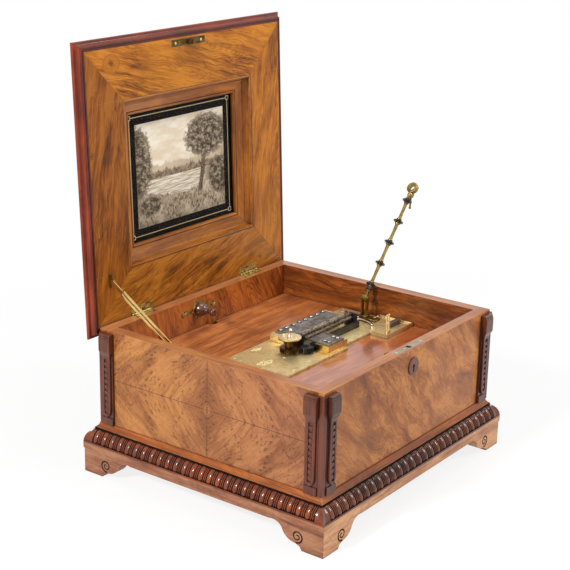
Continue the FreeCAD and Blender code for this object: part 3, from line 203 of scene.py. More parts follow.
def newGroup(name, inputs, outputs):
    tree = bpy.data.node_groups.new(name, "ShaderNodeTree")
    for label, value in inputs.items():
        kind = "Vector" if value is None else "Float" if isinstance(value, float) else "Color"
        socket = tree.interface.new_socket(name=label, in_out="INPUT", socket_type="NodeSocket" + kind)
        if value is not None:
            socket.default_value = value
    for label, kind in outputs.items():
        tree.interface.new_socket(name=label, in_out="OUTPUT", socket_type="NodeSocket" + kind)
    return tree, addNode(tree, "NodeGroupInput").outputs, addNode(tree, "NodeGroupOutput").inputs


# shared effects

def makeWoodFigure():
    # grain along X: clouds of colour, fibres, clustered dark streaks, growth rings, burr specks and pores
    tree, given, out = newGroup("woodFigure", {
        "Vector": None, "Light": tone(205, 150, 90), "Middle": tone(170, 110, 60), "Dark": tone(90, 50, 25),
        "Scale": 1.0, "Swirl": 0.03, "Clouds": 0.5, "Fibres": 0.4, "Streaks": 0.5, "Rings": 0.3,
        "Specks": 0.0, "Pores": 0.5}, {"Color": "Color", "Height": "Float"})

    def drawnOut(squeeze, *settings):
        return noise(tree, stretched(tree, warped, squeeze, 1, 1), *settings)

    big = grown(tree, given["Vector"], given["Scale"])
    warp = noise(tree, stretched(tree, big, 0.55, 1, 1), 9.0, 3.0, 0.5, output="Color")
    push = grown(tree, moved(tree, "SUBTRACT", warp, (0.5, 0.5, 0.5)), given["Swirl"])
    warped = moved(tree, "ADD", big, push)
    cloud = drawnOut(0.45, 24.0, 6.0, 0.6, 0.6)
    strand = drawnOut(0.10, 70.0, 4.0, 0.6, 0.2)
    fibre = drawnOut(0.03, 420.0, 4.0, 0.65)
    flock = drawnOut(0.3, 17.0, 2.0, 0.5)
    shade = times(tree, minus(tree, cloud, 0.5), given["Clouds"])
    grain = plus(tree, minus(tree, strand, 0.5), times(tree, minus(tree, fibre, 0.5), 0.8))
    shade = scaled(tree, scaled(tree, grain, given["Fibres"], shade), 3.0, 0.5)
    body = blend(tree, ramp(tree, shade, 0.25, 0.95), given["Middle"], given["Light"])
    body = blend(tree, ramp(tree, shade, 0.45, -0.35, 0.0, 0.8), body, given["Dark"])
    streak = times(tree, ramp(tree, drawnOut(0.05, 210.0, 6.0, 0.7, 0.25), 0.49, 0.68),
                   ramp(tree, flock, 0.40, 0.66))
    field = times(tree, drawnOut(0.2, 8.0, 3.0, 0.45, 0.3), 60.0)
    turn = calc(tree, "FRACT", scaled(tree, fibre, 0.5, field))
    ring = times(tree, ramp(tree, turn, 0.45, 0.90), ramp(tree, turn, 1.0, 0.94))
    ring = times(tree, ring, ramp(tree, flock, 0.30, 0.60, 0.25, 1.0))
    speck = times(tree, ramp(tree, drawnOut(0.45, 330.0, 3.0, 0.6), 0.53, 0.64),
                  ramp(tree, noise(tree, warped, 28.0, 3.0, 0.6), 0.34, 0.56))
    speck = times(tree, speck, given["Specks"])
    pore = times(tree, ramp(tree, drawnOut(0.06, 1300.0, 2.0, 0.5), 0.60, 0.72), given["Pores"])
    marks = ((times(tree, ring, given["Rings"]), 0.8), (times(tree, streak, given["Streaks"]), 0.9),
             (speck, 0.7), (pore, 0.35))
    for mark, strength in marks:
        body = blend(tree, times(tree, mark, strength), body, given["Dark"])
    low = plus(tree, times(tree, pore, 0.8), times(tree, speck, 0.4))
    feed(tree, out, {"Color": body, "Height": minus(tree, times(tree, fibre, 0.5), low)})
    return tree


def makeWearDirtAndShade():
    # rubbed edges, and dark dirt with painted shade in the corners and hollows, found by ambient occlusion
    tree, given, out = newGroup("wearDirtAndShade", {
        "Color": (0.5, 0.5, 0.5, 1), "Rubbed": (0.6, 0.5, 0.4, 1), "Dirt": (0.03, 0.02, 0.015, 1),
        "Edge": 0.4, "Grime": 0.5, "Reach": 0.004}, {"Color": "Color", "Hollows": "Float"})
    cavity = use(tree, "ShaderNodeAmbientOcclusion", {"Distance": given["Reach"]}, "AO", samples=6)
    outer = use(tree, "ShaderNodeAmbientOcclusion", {"Distance": times(tree, given["Reach"], 0.35)}, "AO",
                samples=6, inside=True)
    patch = noise(tree, addNode(tree, "ShaderNodeTexCoord").outputs["Object"], 55.0, 4.0, 0.6)
    # the hollows darken towards the dirt colour: dirt and painted shade together
    shadedHollow = times(tree, ramp(tree, cavity, 0.95, 0.35), given["Grime"])
    edge = times(tree, ramp(tree, outer, 0.72, 0.25), given["Edge"])
    edge = times(tree, edge, ramp(tree, patch, 0.35, 0.62))
    colour = blend(tree, edge, given["Color"], given["Rubbed"])
    feed(tree, out, {"Color": blend(tree, shadedHollow, colour, given["Dirt"]), "Hollows": shadedHollow})
    return tree


def makeMetalPatina():
    # clouded tarnish, specks and fine rubbing marks
    tree, given, out = newGroup("metalPatina", {
        "Vector": None, "Clean": (0.8, 0.6, 0.3, 1), "Tarnish": (0.3, 0.22, 0.1, 1), "Amount": 0.5,
        "Scale": 1.0, "Brushing": 0.3, "Gloss": 0.3},
        {"Color": "Color", "Roughness": "Float", "Height": "Float"})
    big = grown(tree, given["Vector"], given["Scale"])
    cloud = noise(tree, big, 45.0, 6.0, 0.62, 0.5)
    speck = noise(tree, big, 420.0, 3.0, 0.6)
    marks = noise(tree, stretched(tree, big, 0.05, 1, 1), 1500.0, 2.0, 0.5)
    dull = calc(tree, "MULTIPLY", ramp(tree, cloud, 0.38, 0.66), given["Amount"], clamp=True)
    spots = times(tree, ramp(tree, speck, 0.60, 0.72), times(tree, given["Amount"], 0.6))
    dull = calc(tree, "ADD", dull, spots, clamp=True)
    rough = scaled(tree, minus(tree, marks, 0.5), times(tree, given["Brushing"], 0.5),
                   scaled(tree, dull, 0.25, given["Gloss"]), clamp=True)
    height = plus(tree, times(tree, marks, given["Brushing"]), times(tree, dull, -0.3))
    feed(tree, out, {"Color": blend(tree, dull, given["Clean"], given["Tarnish"]), "Roughness": rough,
                     "Height": height})
    return tree


woodFigure = makeWoodFigure()
wearDirtAndShade = makeWearDirtAndShade()
metalPatina = makeMetalPatina()
print("shared effects made")

looks = {}
woodDefaults = {"order": "XYZ", "light": (205, 150, 105), "middle": (178, 120, 80), "dark": (110, 66, 42),
                "scale": 1.0, "swirl": 0.03, "clouds": 0.5, "fibres": 0.5, "streaks": 0.3, "rings": 0.3,
                "specks": 0.0, "pores": 0.5, "rubbed": (215, 165, 125), "dirt": (45, 25, 15), "edge": 0.4,
                "grime": 0.6, "reach": 0.005, "rough": 0.42, "roughChange": 0.25, "varnish": 0.25,
                "varnishRough": 0.2, "bump": 0.25, "relief": 0.0006, "specular": 0.25, "shift": (0, 0, 0)}
metalDefaults = {"clean": (214, 180, 110), "tarnish": (120, 95, 50), "amount": 0.6, "scale": 1.0,
                 "brushing": 0.3, "gloss": 0.25, "order": "XYZ", "edge": 0.3, "grime": 0.7, "reach": 0.002,
                 "rubbed": (235, 205, 140), "dirt": (40, 28, 15), "bump": 0.12, "relief": 0.0003,
                 "metallic": 1.0, "specular": 0.5, "below": None}


def startMaterial(name):
    material = bpy.data.materials.new(name)
    material.use_nodes = True
    looks[name] = material
    tree = material.node_tree
    return tree, tree.nodes["Principled BSDF"].inputs, addNode(tree, "ShaderNodeTexCoord").outputs["Object"]


def useEffect(tree, group, look, keys, **given):
    # a shared effect with its inputs taken from the finish's values
    node = addNode(tree, "ShaderNodeGroup", node_tree=group)
    feed(tree, node.inputs, {**given, **{key.title(): look[key] for key in keys.split()}})
    return node.outputs


def grained(tree, vector, look):
    keys = "light middle dark scale swirl clouds fibres streaks rings specks pores"
    return useEffect(tree, woodFigure, look, keys, Vector=vector)


def wearDirtAndShadeOver(tree, colour, look):
    return useEffect(tree, wearDirtAndShade, look, "rubbed dirt edge grime reach", Color=colour)


def addBump(tree, shader, height, strength, distance):
    bump = use(tree, "ShaderNodeBump", {"Strength": strength, "Distance": distance, "Height": height})
    feed(tree, shader, {"Normal": bump})


def finishWood(tree, shader, colour, height, look):
    wornAndShaded = wearDirtAndShadeOver(tree, colour, look)
    rough = scaled(tree, height, -look["roughChange"], look["rough"])
    feed(tree, shader, {"Base Color": wornAndShaded["Color"], "Specular IOR Level": look["specular"],
                        "Roughness": scaled(tree, wornAndShaded["Hollows"], 0.25, rough, clamp=True),
                        "Coat Weight": look["varnish"], "Coat Roughness": look["varnishRough"]})
    addBump(tree, shader, height, look["bump"], look["relief"])


def plainWood(name, **changes):
    look = toned({**woodDefaults, **changes})
    tree, shader, where = startMaterial(name)
    figure = grained(tree, swapAxes(tree, where, look["order"]), look)
    finishWood(tree, shader, figure["Color"], figure["Height"], look)


def mitredWood(name, origin, halves, orders, **changes):
    # one run of grain on the level members and another on the upright ones, parted at the mitres
    look = toned({**woodDefaults, "sideTint": None, "innerTint": None, **changes})
    tree, shader, where = startMaterial(name)
    local = moved(tree, "SUBTRACT", where, origin)
    parts = axesOf(tree, local)
    level, upright = orders
    across = minus(tree, absolute(tree, parts[level[0]]), halves[0])
    along = minus(tree, absolute(tree, parts[upright[0]]), halves[1])
    side = calc(tree, "GREATER_THAN", across, along)
    vector = pickVector(tree, side, swapAxes(tree, local, level), swapAxes(tree, local, upright))
    figure = grained(tree, vector, look)
    colour = figure["Color"]
    if look["sideTint"]:
        colour = blend(tree, side, colour, shaded(tree, colour, look["sideTint"]))
    if look["innerTint"]:
        reach = calc(tree, "MAXIMUM", across, along)
        inner = ramp(tree, reach, look["innerWidth"] + 0.0004, look["innerWidth"] - 0.0004)
        colour = blend(tree, inner, colour, shaded(tree, colour, look["innerTint"]))
    seam = ramp(tree, absolute(tree, minus(tree, across, along)), 0.0007, 0.0002)
    colour = blend(tree, times(tree, seam, 0.5), colour, look["dirt"])
    finishWood(tree, shader, colour, figure["Height"], look)


insideWall = {"light": (170, 96, 36), "middle": (118, 60, 20), "dark": (46, 18, 5), "swirl": 0.07,
              "clouds": 0.6, "fibres": 0.5, "streaks": 0.7, "rings": 0.6, "specks": 0.0}
rimWood = {"light": (180, 118, 68), "middle": (150, 90, 50), "dark": (88, 48, 24), "swirl": 0.01,
           "clouds": 0.3, "streaks": 0.1, "rings": 0.1, "specks": 0.0}
wallBase = {"inside": {}, "insideAngle": 0, "fade": 0.45, "faded": (186, 124, 84), "seam": 0.8,
            "varnish": 0.15, "insideVarnish": 0.5, "varnishRough": 0.18, "light": (176, 118, 68),
            "middle": (138, 84, 46), "dark": (62, 32, 18), "swirl": 0.05, "clouds": 0.6, "fibres": 0.4,
            "streaks": 0.08, "rings": 0.12, "specks": 1.0, "pores": 0.8, "grime": 0.5, "edge": 0.5,
            "angle": 45, "drift": None, "driftSpan": (-0.2, 0.2)}


def wallVeneer(name, box, thin, outward, seams, **changes):
    # veneer matched about two seams on the outside, plain figured boards inside, bare wood on the rim
    look = toned({**woodDefaults, **wallBase, **changes})
    tree, shader, where = startMaterial(name)
    local = swapAxes(tree, where, ("YZX", "XZY")[thin])
    parts = axesOf(tree, local)
    across = minus(tree, parts["X"], seams[0])
    up = minus(tree, parts["Y"], seams[1])
    nearAcross, nearUp = absolute(tree, across), absolute(tree, up)
    mirrored = joined(tree, nearAcross, nearUp, parts["Z"])
    outer = grained(tree, turnedGrain(tree, mirrored, look["angle"], look["shift"]), look)
    inner = grained(tree, turnedGrain(tree, local, look["insideAngle"], (0.3, 0.1, 0.2)),
                    {**look, **toned({**insideWall, **look["inside"]})})
    rim = grained(tree, turnedGrain(tree, local, 0, (0.6, 0.5, 0.1)), {**look, **toned(rimWood)})
    # inside or outside of the board: which side of its middle
    middlePlane = (box[0][thin] + box[1][thin]) / 2
    isInside = calc(tree, "LESS_THAN", times(tree, minus(tree, parts["Z"], middlePlane), outward), 0.0)
    isRim = calc(tree, "GREATER_THAN", parts["Y"], case["rimTop"] * mm - 0.0004)
    fade = ramp(tree, noise(tree, where, 3.2, 2.0, 0.5), 0.40, 0.66, 0.0, look["fade"])
    colour = blend(tree, fade, outer["Color"], look["faded"])
    if look["drift"]:
        colour = shaded(tree, colour, blend(tree, ramp(tree, across, *look["driftSpan"]), *look["drift"]))
    seam = ramp(tree, calc(tree, "MINIMUM", nearAcross, nearUp), 0.0009, 0.0002)
    colour = blend(tree, times(tree, seam, look["seam"]), colour, look["dark"])
    colour = blend(tree, isInside, colour, inner["Color"])
    colour = blend(tree, isRim, colour, rim["Color"])
    finishWood(tree, shader, colour, outer["Height"], look)
    gloss = scaled(tree, isInside, look["insideVarnish"] - look["varnish"], look["varnish"])
    feed(tree, shader, {"Coat Weight": gloss})


def knotted(tree, across, up, vector, knots):
    # the grain turned into rings round each knot, and how near the nearest eye is
    eye = 0.0
    for x, z, reach in knots:
        right = minus(tree, across, x)
        above = times(tree, minus(tree, up, z), 1.25)
        away = hypot(tree, right, above)
        turn = calc(tree, "ARCTAN2", above, right)
        rings = joined(tree, times(tree, turn, 0.012), times(tree, away, 1.6), 1.3)
        vector = pickVector(tree, ramp(tree, away, reach * 1.9, reach * 0.8), vector, rings)
        eye = calc(tree, "MAXIMUM", eye, ramp(tree, away, reach * 0.8, reach * 0.1, 0.0, 0.8))
    return vector, eye


def lidVeneer(name, **changes):
    # four mitred bands of figured walnut round the picture, each with its own run of grain
    look = toned({**woodDefaults, **changes})
    tree, shader, where = startMaterial(name)
    parts = axesOf(tree, where)
    x = minus(tree, parts["X"], caseCentre.x)
    z = minus(tree, parts["Z"], look["pictureHeight"])
    flatZ = absolute(tree, z)
    across = minus(tree, absolute(tree, x), look["halfWidth"])
    along = minus(tree, flatZ, look["halfHeight"])
    side = calc(tree, "GREATER_THAN", across, along)
    isUpper = calc(tree, "GREATER_THAN", z, 0.0)
    vector = pickVector(tree, side, turnedGrain(tree, joined(tree, x, flatZ, isUpper), 16),
                        turnedGrain(tree, joined(tree, z, x, 0.37), -9))
    flow, eye = knotted(tree, x, z, vector, look["knots"])
    figure = grained(tree, flow, look)
    colour = blend(tree, eye, figure["Color"], look["dark"])
    tint = ramp(tree, noise(tree, where, 4.5, 2.0, 0.5), 0.42, 0.64, 0.0, 0.35)
    colour = blend(tree, tint, colour, look["golden"])
    # each band is tinted on its own and the left band much darker: partly its own leaf of veneer, partly
    # painted shade on that side
    left, right, low, high = look["leaves"]
    leaf = blend(tree, side, blend(tree, isUpper, low, high),
                 blend(tree, calc(tree, "GREATER_THAN", x, 0.0), left, right))
    mitre = ramp(tree, absolute(tree, minus(tree, across, along)), 0.0009, 0.0002, 0.0, 0.45)
    colour = blend(tree, mitre, shaded(tree, colour, leaf), look["dark"])
    finishWood(tree, shader, colour, figure["Height"], look)


def metal(name, **changes):
    look = toned({**metalDefaults, **changes})
    tree, shader, where = startMaterial(name)
    patina = useEffect(tree, metalPatina, look, "clean tarnish amount scale brushing gloss",
                       Vector=swapAxes(tree, where, look["order"]))
    wornAndShaded = wearDirtAndShadeOver(tree, patina["Color"], look)
    colour = wornAndShaded["Color"]
    if look["below"]:
        height, shade = look["below"]
        isLow = calc(tree, "LESS_THAN", axesOf(tree, where)["Z"], height)
        colour = blend(tree, isLow, colour, shaded(tree, colour, tone(*shade)))
    rough = scaled(tree, wornAndShaded["Hollows"], 0.3, patina["Roughness"], clamp=True)
    feed(tree, shader, {"Base Color": colour, "Roughness": rough, "Metallic": look["metallic"],
                        "Specular IOR Level": look["specular"]})
    addBump(tree, shader, patina["Height"], look["bump"], look["relief"])


# the finishes of this box

lying, standing = ("XYZ", "YXZ"), ("XZY", "ZXY")  # how the grain runs in a flat ring and in an upright one
wallVeneer("leftVeneer", leftWall, 0, -1.0, (caseCentre.y - 0.0025, 0.1697),
           drift=((0.88, 0.83, 0.94, 1), (1.04, 1.01, 0.76, 1)))
# the right wall's inside is made darker than the others: painted shade
wallVeneer("rightVeneer", rightWall, 0, 1.0, (caseCentre.y + 0.004, 0.1697), shift=(1, 2, 0),
           inside={"light": (158, 86, 32), "middle": (108, 53, 18)})
# the front's drift lightens and greys it towards the right end: painted sheen
wallVeneer("frontVeneer", frontWall, 1, -1.0, (caseCentre.x - 0.6, -0.4), shift=(3, 1, 0),
           light=(194, 126, 66), middle=(148, 84, 38), dark=(72, 32, 10), swirl=0.09, clouds=0.95,
           streaks=0.35, rings=0.25, specks=0.6, seam=0.0, fade=0.3, varnish=0.2, specular=0.15,
           drift=((0.96, 0.92, 0.7, 1), (1.12, 1.12, 1.05, 1)), driftSpan=(0.36, 0.84))
wallVeneer("backVeneer", backWall, 1, 1.0, (caseCentre.x, 0.163), shift=(5, 1, 0), angle=10, seam=0.1,
           insideAngle=68, inside={"light": (204, 116, 46), "middle": (158, 82, 30)})
mitredWood("plinthWood", caseCentre, (0.2725, 0.2475), lying, light=(218, 164, 118), middle=(188, 130, 90),
           dark=(104, 60, 38), sideTint=(0.5, 0.42, 0.44, 1), streaks=0.7, fibres=0.8, swirl=0.02,
           varnish=0.1, rough=0.5)
# the gadroon's hollows go near black over a wide reach: painted shade in the grooves, with some dirt
mitredWood("carvedWood", (0, 0, 0), (0.25, 0.225), lying, light=(124, 60, 24), middle=(86, 38, 14),
           dark=(32, 13, 5), streaks=0.4, swirl=0.02, varnish=0.55, varnishRough=0.12, rough=0.34,
           rubbed=(128, 66, 32), edge=0.8, specular=0.2, dirt=(10, 5, 3), grime=1.0, reach=0.009,
           sideTint=(1.3, 1.06, 0.66, 1))
mitredWood("waistWood", caseCentre, (0.2578, 0.2328), lying, light=(172, 94, 34), middle=(130, 64, 20),
           dark=(54, 24, 8), streaks=0.4, swirl=0.01, varnish=0.3, rough=0.35, specular=0.2, dirt=(22, 10, 6))
mitredWood("edgeMahogany", (0, 0, 0.2235), (0.2506, 0.2265), standing, light=(142, 54, 22),
           middle=(104, 34, 12), dark=(42, 12, 4), streaks=0.4, swirl=0.01, specular=0.2, varnish=0.3,
           rough=0.35, rubbed=(170, 84, 50), reach=0.006, innerTint=(0.62, 0.72, 0.8, 1), innerWidth=0.0076,
           dirt=(20, 8, 6))
mitredWood("frameWood", (0, 0, 0.2234), (0.137, 0.1096), standing, light=(184, 110, 18), middle=(146, 80, 10),
           dark=(64, 30, 4), streaks=0.4, swirl=0.01, varnish=0.3, rough=0.36, varnishRough=0.15,
           specular=0.2, reach=0.012, grime=0.9, dirt=(28, 12, 6))
# scrollShade: painted shade for the inside of the scrolls cut in the plinth
plainWood("scrollShade", light=(62, 34, 24), middle=(44, 24, 16), dark=(26, 14, 10), varnish=0.0, rough=0.7)
# jointShade: near black, for the painted shadow line under the waist moulding
plainWood("jointShade", light=(24, 13, 9), middle=(16, 9, 6), dark=(9, 5, 4), varnish=0.0, rough=0.8,
          edge=0.0, specular=0.1)
plainWood("pilasterWood", order="ZXY", light=(104, 50, 27), middle=(74, 32, 16), dark=(28, 10, 6),
          streaks=0.4, swirl=0.01, varnish=0.4, rough=0.4, rubbed=(150, 80, 54), edge=0.9, grime=0.75,
          reach=0.003, dirt=(26, 12, 8))
plainWood("deckWood", light=(192, 118, 60), middle=(153, 86, 44), dark=(86, 37, 18), streaks=0.6, rings=0.3,
          swirl=0.006, fibres=0.8, varnish=0.35, varnishRough=0.2, rough=0.42)
plainWood("glossyDeck", light=(188, 106, 50), middle=(152, 74, 30), dark=(82, 34, 12), streaks=0.5, rings=0.4,
          swirl=0.03, varnish=1.0, varnishRough=0.13, rough=0.38, bump=0.08)
plainWood("roughWood", light=(170, 130, 92), middle=(140, 100, 66), dark=(90, 60, 38), varnish=0.0,
          rough=0.7)
plainWood("turnedWood", light=(110, 62, 42), middle=(78, 40, 26), dark=(34, 16, 10), varnish=0.9, rough=0.3,
          varnishRough=0.1, scale=1.6)
lidVeneer("lidVeneer", light=(206, 134, 44), middle=(168, 98, 26), dark=(46, 18, 4), golden=(214, 142, 38),
          swirl=0.045, clouds=0.55, fibres=0.9, streaks=1.0, rings=0.4, pores=0.6, scale=1.15, varnish=0.12,
          varnishRough=0.22, rough=0.45, specular=0.15, halfWidth=168.5 * mm, halfHeight=141.1 * mm,
          pictureHeight=(lidSpace @ Vector((0, 0, case["pictureHeight"] * mm))).z,
          # the first of the leaves tints, for the left band, is darkened partly as painted shade
          leaves=((0.64, 0.54, 0.5, 1), (0.92, 0.84, 0.7, 1), (0.86, 0.82, 0.86, 1), (1, 0.93, 0.8, 1)),
          knots=((-0.191, 0.2016, 0.011), (0.184, -0.2014, 0.010), (-0.246, 0.0606, 0.004),
                 (0.247, -0.0644, 0.004)))
metal("dullBrass", clean=(240, 220, 168), tarnish=(176, 148, 94), amount=0.8, gloss=0.42, brushing=0.5)
metal("barBrass", clean=(166, 138, 74), tarnish=(82, 64, 30), amount=0.85, scale=1.6, gloss=0.26)
metal("leafBrass", clean=(196, 168, 98), tarnish=(44, 30, 14), amount=1.0, scale=5.0, gloss=0.4, brushing=0.4)
metal("wheelBrass", clean=(240, 222, 176), tarnish=(200, 174, 118), amount=0.5, gloss=0.3,
      below=(0.2275, (92, 76, 56)))
metal("agedPlate", clean=(112, 88, 50), tarnish=(52, 36, 18), amount=0.9, scale=2.0, gloss=0.36)
metal("brightBrass", clean=(232, 200, 128), tarnish=(160, 128, 64), amount=0.4, gloss=0.16, brushing=0.2)
metal("darkBrass", clean=(150, 122, 66), tarnish=(70, 54, 28), amount=0.8, gloss=0.34, brushing=0.2)
metal("paleBrass", clean=(255, 240, 176), tarnish=(236, 208, 136), amount=0.5, metallic=0.3, gloss=0.26,
      brushing=0.2, reach=0.001)
metal("giltLine", clean=(236, 218, 160), tarnish=(190, 168, 110), amount=0.5, gloss=0.4, brushing=0.1,
      grime=0.0, metallic=0.3)
metal("combSteel", clean=(150, 142, 136), tarnish=(86, 78, 72), amount=0.8, gloss=0.42, brushing=0.6,
      rubbed=(200, 200, 204), order="YXZ")
metal("starSteel", clean=(204, 188, 166), tarnish=(72, 60, 46), amount=1.0, scale=3.2, gloss=0.3,
      brushing=0.2, rubbed=(200, 190, 176), grime=0.9)
metal("screwSteel", clean=(196, 190, 182), tarnish=(110, 102, 92), gloss=0.24, rubbed=(190, 186, 176))
metal("brightSteel", clean=(222, 220, 216), tarnish=(150, 146, 138), amount=0.3, gloss=0.16,
      rubbed=(245, 245, 240))
metal("greySteel", clean=(168, 158, 144), tarnish=(112, 102, 88), gloss=0.36, brushing=0.5,
      rubbed=(210, 204, 190))
metal("blackIron", clean=(44, 42, 42), tarnish=(24, 22, 22), amount=0.5, gloss=0.36, brushing=0.2,
      rubbed=(120, 112, 100), metallic=0.6)
metal("rollerBlack", clean=(40, 44, 50), tarnish=(22, 24, 28), amount=0.5, gloss=0.26, brushing=0.1,
      rubbed=(96, 96, 100), metallic=0.0)
metal("matBlack", clean=(22, 18, 16), tarnish=(12, 10, 9), amount=0.0, gloss=0.6, brushing=0.0, edge=0.0,
      grime=0.0, metallic=0.0, bump=0.0, specular=0.04)
metal("hornDark", clean=(106, 56, 36), tarnish=(70, 34, 22), gloss=0.3, brushing=0.2, rubbed=(160, 96, 62),
      metallic=0.0)
print("finishes made")

dressing = {
    "leftVeneer": "left_wall", "rightVeneer": "right_wall", "frontVeneer": "front_wall",
    "backVeneer": "back_wall", "roughWood": "bottom_board deck_bearers",
    "plinthWood": "base_front base_back base_left base_right", "carvedWood": "gadroon_moulding",
    "waistWood": "waist_moulding", "pilasterWood": "corner_pilasters", "deckWood": "deck_back_board",
    "glossyDeck": "deck_front_board", "turnedWood": "wall_knob", "lidVeneer": "lid_frame lid_top_panel",
    "edgeMahogany": "lid_edge_moulding", "frameWood": "picture_moulding", "hornDark": "key_escutcheon",
    "dullBrass": "bedplate end_plate comb_base spring_barrel motor_frame governor_fan",
    "brightBrass": "lid_stay front_comb_base bar_post pressure_bar start_lever",
    "leafBrass": "case_hinge_leaves lid_hinge_leaves knob_plate", "darkBrass": "stay_stud stay_ear",
    "agedPlate": "lid_strike_plate", "wheelBrass": "drive_wheel", "greySteel": "lock_case",
    "brightSteel": "lock_bolt comb_screws spindle",
    "combSteel": "stop_spring long_comb front_comb barrel_arbor", "starSteel": "star_wheels",
    "blackIron": "star_gantry bar_latch drive_idler",
    "rollerBlack": " ".join(f"roller_{index}" for index in range(1, 6)),
}


def dressNode(name, material):
    mesh = nodes[name].data
    if not mesh.materials:
        mesh.materials.append(material)
    for index in range(len(mesh.materials)):
        mesh.materials[index] = material


for lookName, nodeNames in dressing.items():
    for nodeName in nodeNames.split():
        dressNode(nodeName, looks[lookName])
print("CAD nodes dressed")


# shapes in millimetres, as lists of points and faces

def addShape(whole, shape, move=Matrix()):
    first = len(whole[0])
    whole[0].extend(move @ Vector(point) for point in shape[0])
    whole[1].extend(tuple(first + index for index in face) for face in shape[1])


def spun(profile, count=32, ring=False):
    # profile: radius and height from end to end, or round a closed section, about the Z axis
    points, faces = [], []
    for radius, height in profile:
        for step in range(count):
            turn = 2 * math.pi * step / count
            points.append((radius * math.cos(turn), radius * math.sin(turn), height))
    for row in range(len(profile) if ring else len(profile) - 1):
        near, far = row * count, (row + 1) % len(profile) * count
        for step in range(count):
            after = (step + 1) % count
            faces.append((near + step, near + after, far + after, far + step))
    if profile[0][0] > 0 and not ring:
        faces.append(tuple(reversed(range(count))))
    if profile[-1][0] > 0 and not ring:
        faces.append(tuple(range((len(profile) - 1) * count, len(profile) * count)))
    return points, faces


def block(low, high, bevel=0.3):
    # a box with its edges broken
    shape = bmesh.new()
    bmesh.ops.create_cube(shape, size=1.0)
    low, high = Vector(low), Vector(high)
    for corner in shape.verts:
        corner.co = Vector([(low[i] + high[i]) / 2 + corner.co[i] * (high[i] - low[i]) for i in range(3)])
    bmesh.ops.bevel(shape, geom=shape.edges[:], offset=bevel, segments=1, affect="EDGES")
    shape.verts.index_update()
    made = ([tuple(corner.co) for corner in shape.verts],
            [tuple(corner.index for corner in face.verts) for face in shape.faces])
    shape.free()
    return made


def tube(path, radius, normal=(0, 0, 1), count=8, flat=1.0):
    # a bar along a path that lies in the plane of that normal
    normal = Vector(normal).normalized()
    path = [Vector(point) for point in path]
    points, faces = [], []
    last = len(path) - 1
    for index, point in enumerate(path):
        side = (path[min(index + 1, last)] - path[max(index - 1, 0)]).normalized().cross(normal)
        reach = radius[index] if isinstance(radius, (list, tuple)) else radius
        for step in range(count):
            turn = 2 * math.pi * (step + 0.5) / count
            points.append(point + side * reach * math.cos(turn) + normal * reach * flat * math.sin(turn))
    for index in range(last):
        near, far = index * count, (index + 1) * count
        for step in range(count):
            beside = (step + 1) % count
            faces.append((near + step, near + beside, far + beside, far + step))
    faces.append(tuple(reversed(range(count))))
    faces.append(tuple(range(last * count, (last + 1) * count)))
    return points, faces


def slottedHead(radius, height):
    # a domed screw head, its two halves parted by the slot
    form = {"gap": 0.22, "steps": 8,
            "rows": ((0.98, 0.3), (0.97, 0.5), (0.84, 0.78), (0.6, 0.94), (0.3, 1.0))}
    whole = ([], [])
    addShape(whole, spun([(radius, -0.15), (radius, height * 0.3), (radius * 0.9, height * 0.36)], 20))
    steps = form["steps"]
    width = steps + 1
    starts = [row * width for row in range(len(form["rows"]))]
    for side in (-1, 1):
        points, faces = [], []
        for share, rise in form["rows"]:
            reach = radius * share
            spread = math.acos(min(form["gap"] * radius / 2 / reach, 1))
            for step in range(width):
                turn = -spread + 2 * spread * step / steps
                points.append((side * reach * math.cos(turn), reach * math.sin(turn), height * rise))
        for start in starts[:-1]:
            for corner in range(start, start + steps):
                faces.append((corner, corner + 1, corner + width + 1, corner + width))
        faces.append(tuple(range(starts[-1], starts[-1] + width)))
        faces.append(tuple(reversed(range(width))))
        faces.append(tuple(starts + [start + steps for start in reversed(starts)]))
        addShape(whole, (points, faces))
    return whole


def arc(middle, radii, turns):
    # points of an ellipse at those turns in degrees
    angles = [math.radians(turn) for turn in turns]
    return [(middle[0] + radii[0] * math.cos(turn), middle[1] + radii[1] * math.sin(turn)) for turn in angles]


def facing(place, normal, spin=0.0):
    # where a piece drawn along +Z sits, its Z turned to that normal
    turn = Vector((0, 0, 1)).rotation_difference(Vector(normal)).to_matrix().to_4x4()
    return Matrix.Translation(Vector(place)) @ turn @ Matrix.Rotation(spin, 4, "Z")


def mitredRing(profile, halfX, halfY):
    # a closed section of reach and height carried round a rectangle
    points, faces = [], []
    for signX, signY in ((-1, -1), (1, -1), (1, 1), (-1, 1)):
        for reach, height in profile:
            points.append((signX * (halfX + reach), signY * (halfY + reach), height))
    count = len(profile)
    for corner in range(4):
        near, far = corner * count, (corner + 1) % 4 * count
        for step in range(count):
            beside = (step + 1) % count
            faces.append((near + step, far + step, far + beside, near + beside))
    return points, faces


def placed(name, data, space=Matrix()):
    thing = bpy.data.objects.new(name, data)
    thing.matrix_world = space
    bpy.context.collection.objects.link(thing)
    return thing


def makePiece(name, shape, look, body="case", space=caseSpace, smooth=35.0):
    mesh = bpy.data.meshes.new(name)
    mesh.from_pydata([Vector(point) * mm for point in shape[0]], [], shape[1])
    work = bmesh.new()
    work.from_mesh(mesh)
    bmesh.ops.remove_doubles(work, verts=work.verts[:], dist=0.000004)
    bmesh.ops.dissolve_degenerate(work, edges=work.edges[:], dist=0.000002)
    bmesh.ops.recalc_face_normals(work, faces=work.faces[:])
    work.to_mesh(mesh)
    work.free()
    mesh.materials.append(looks[look])
    mesh.shade_smooth()
    mesh.set_sharp_from_angle(angle=math.radians(smooth))
    thing = placed(name, mesh, space)
    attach(thing, body)
    return thing


# gadrooned moulding round the plinth

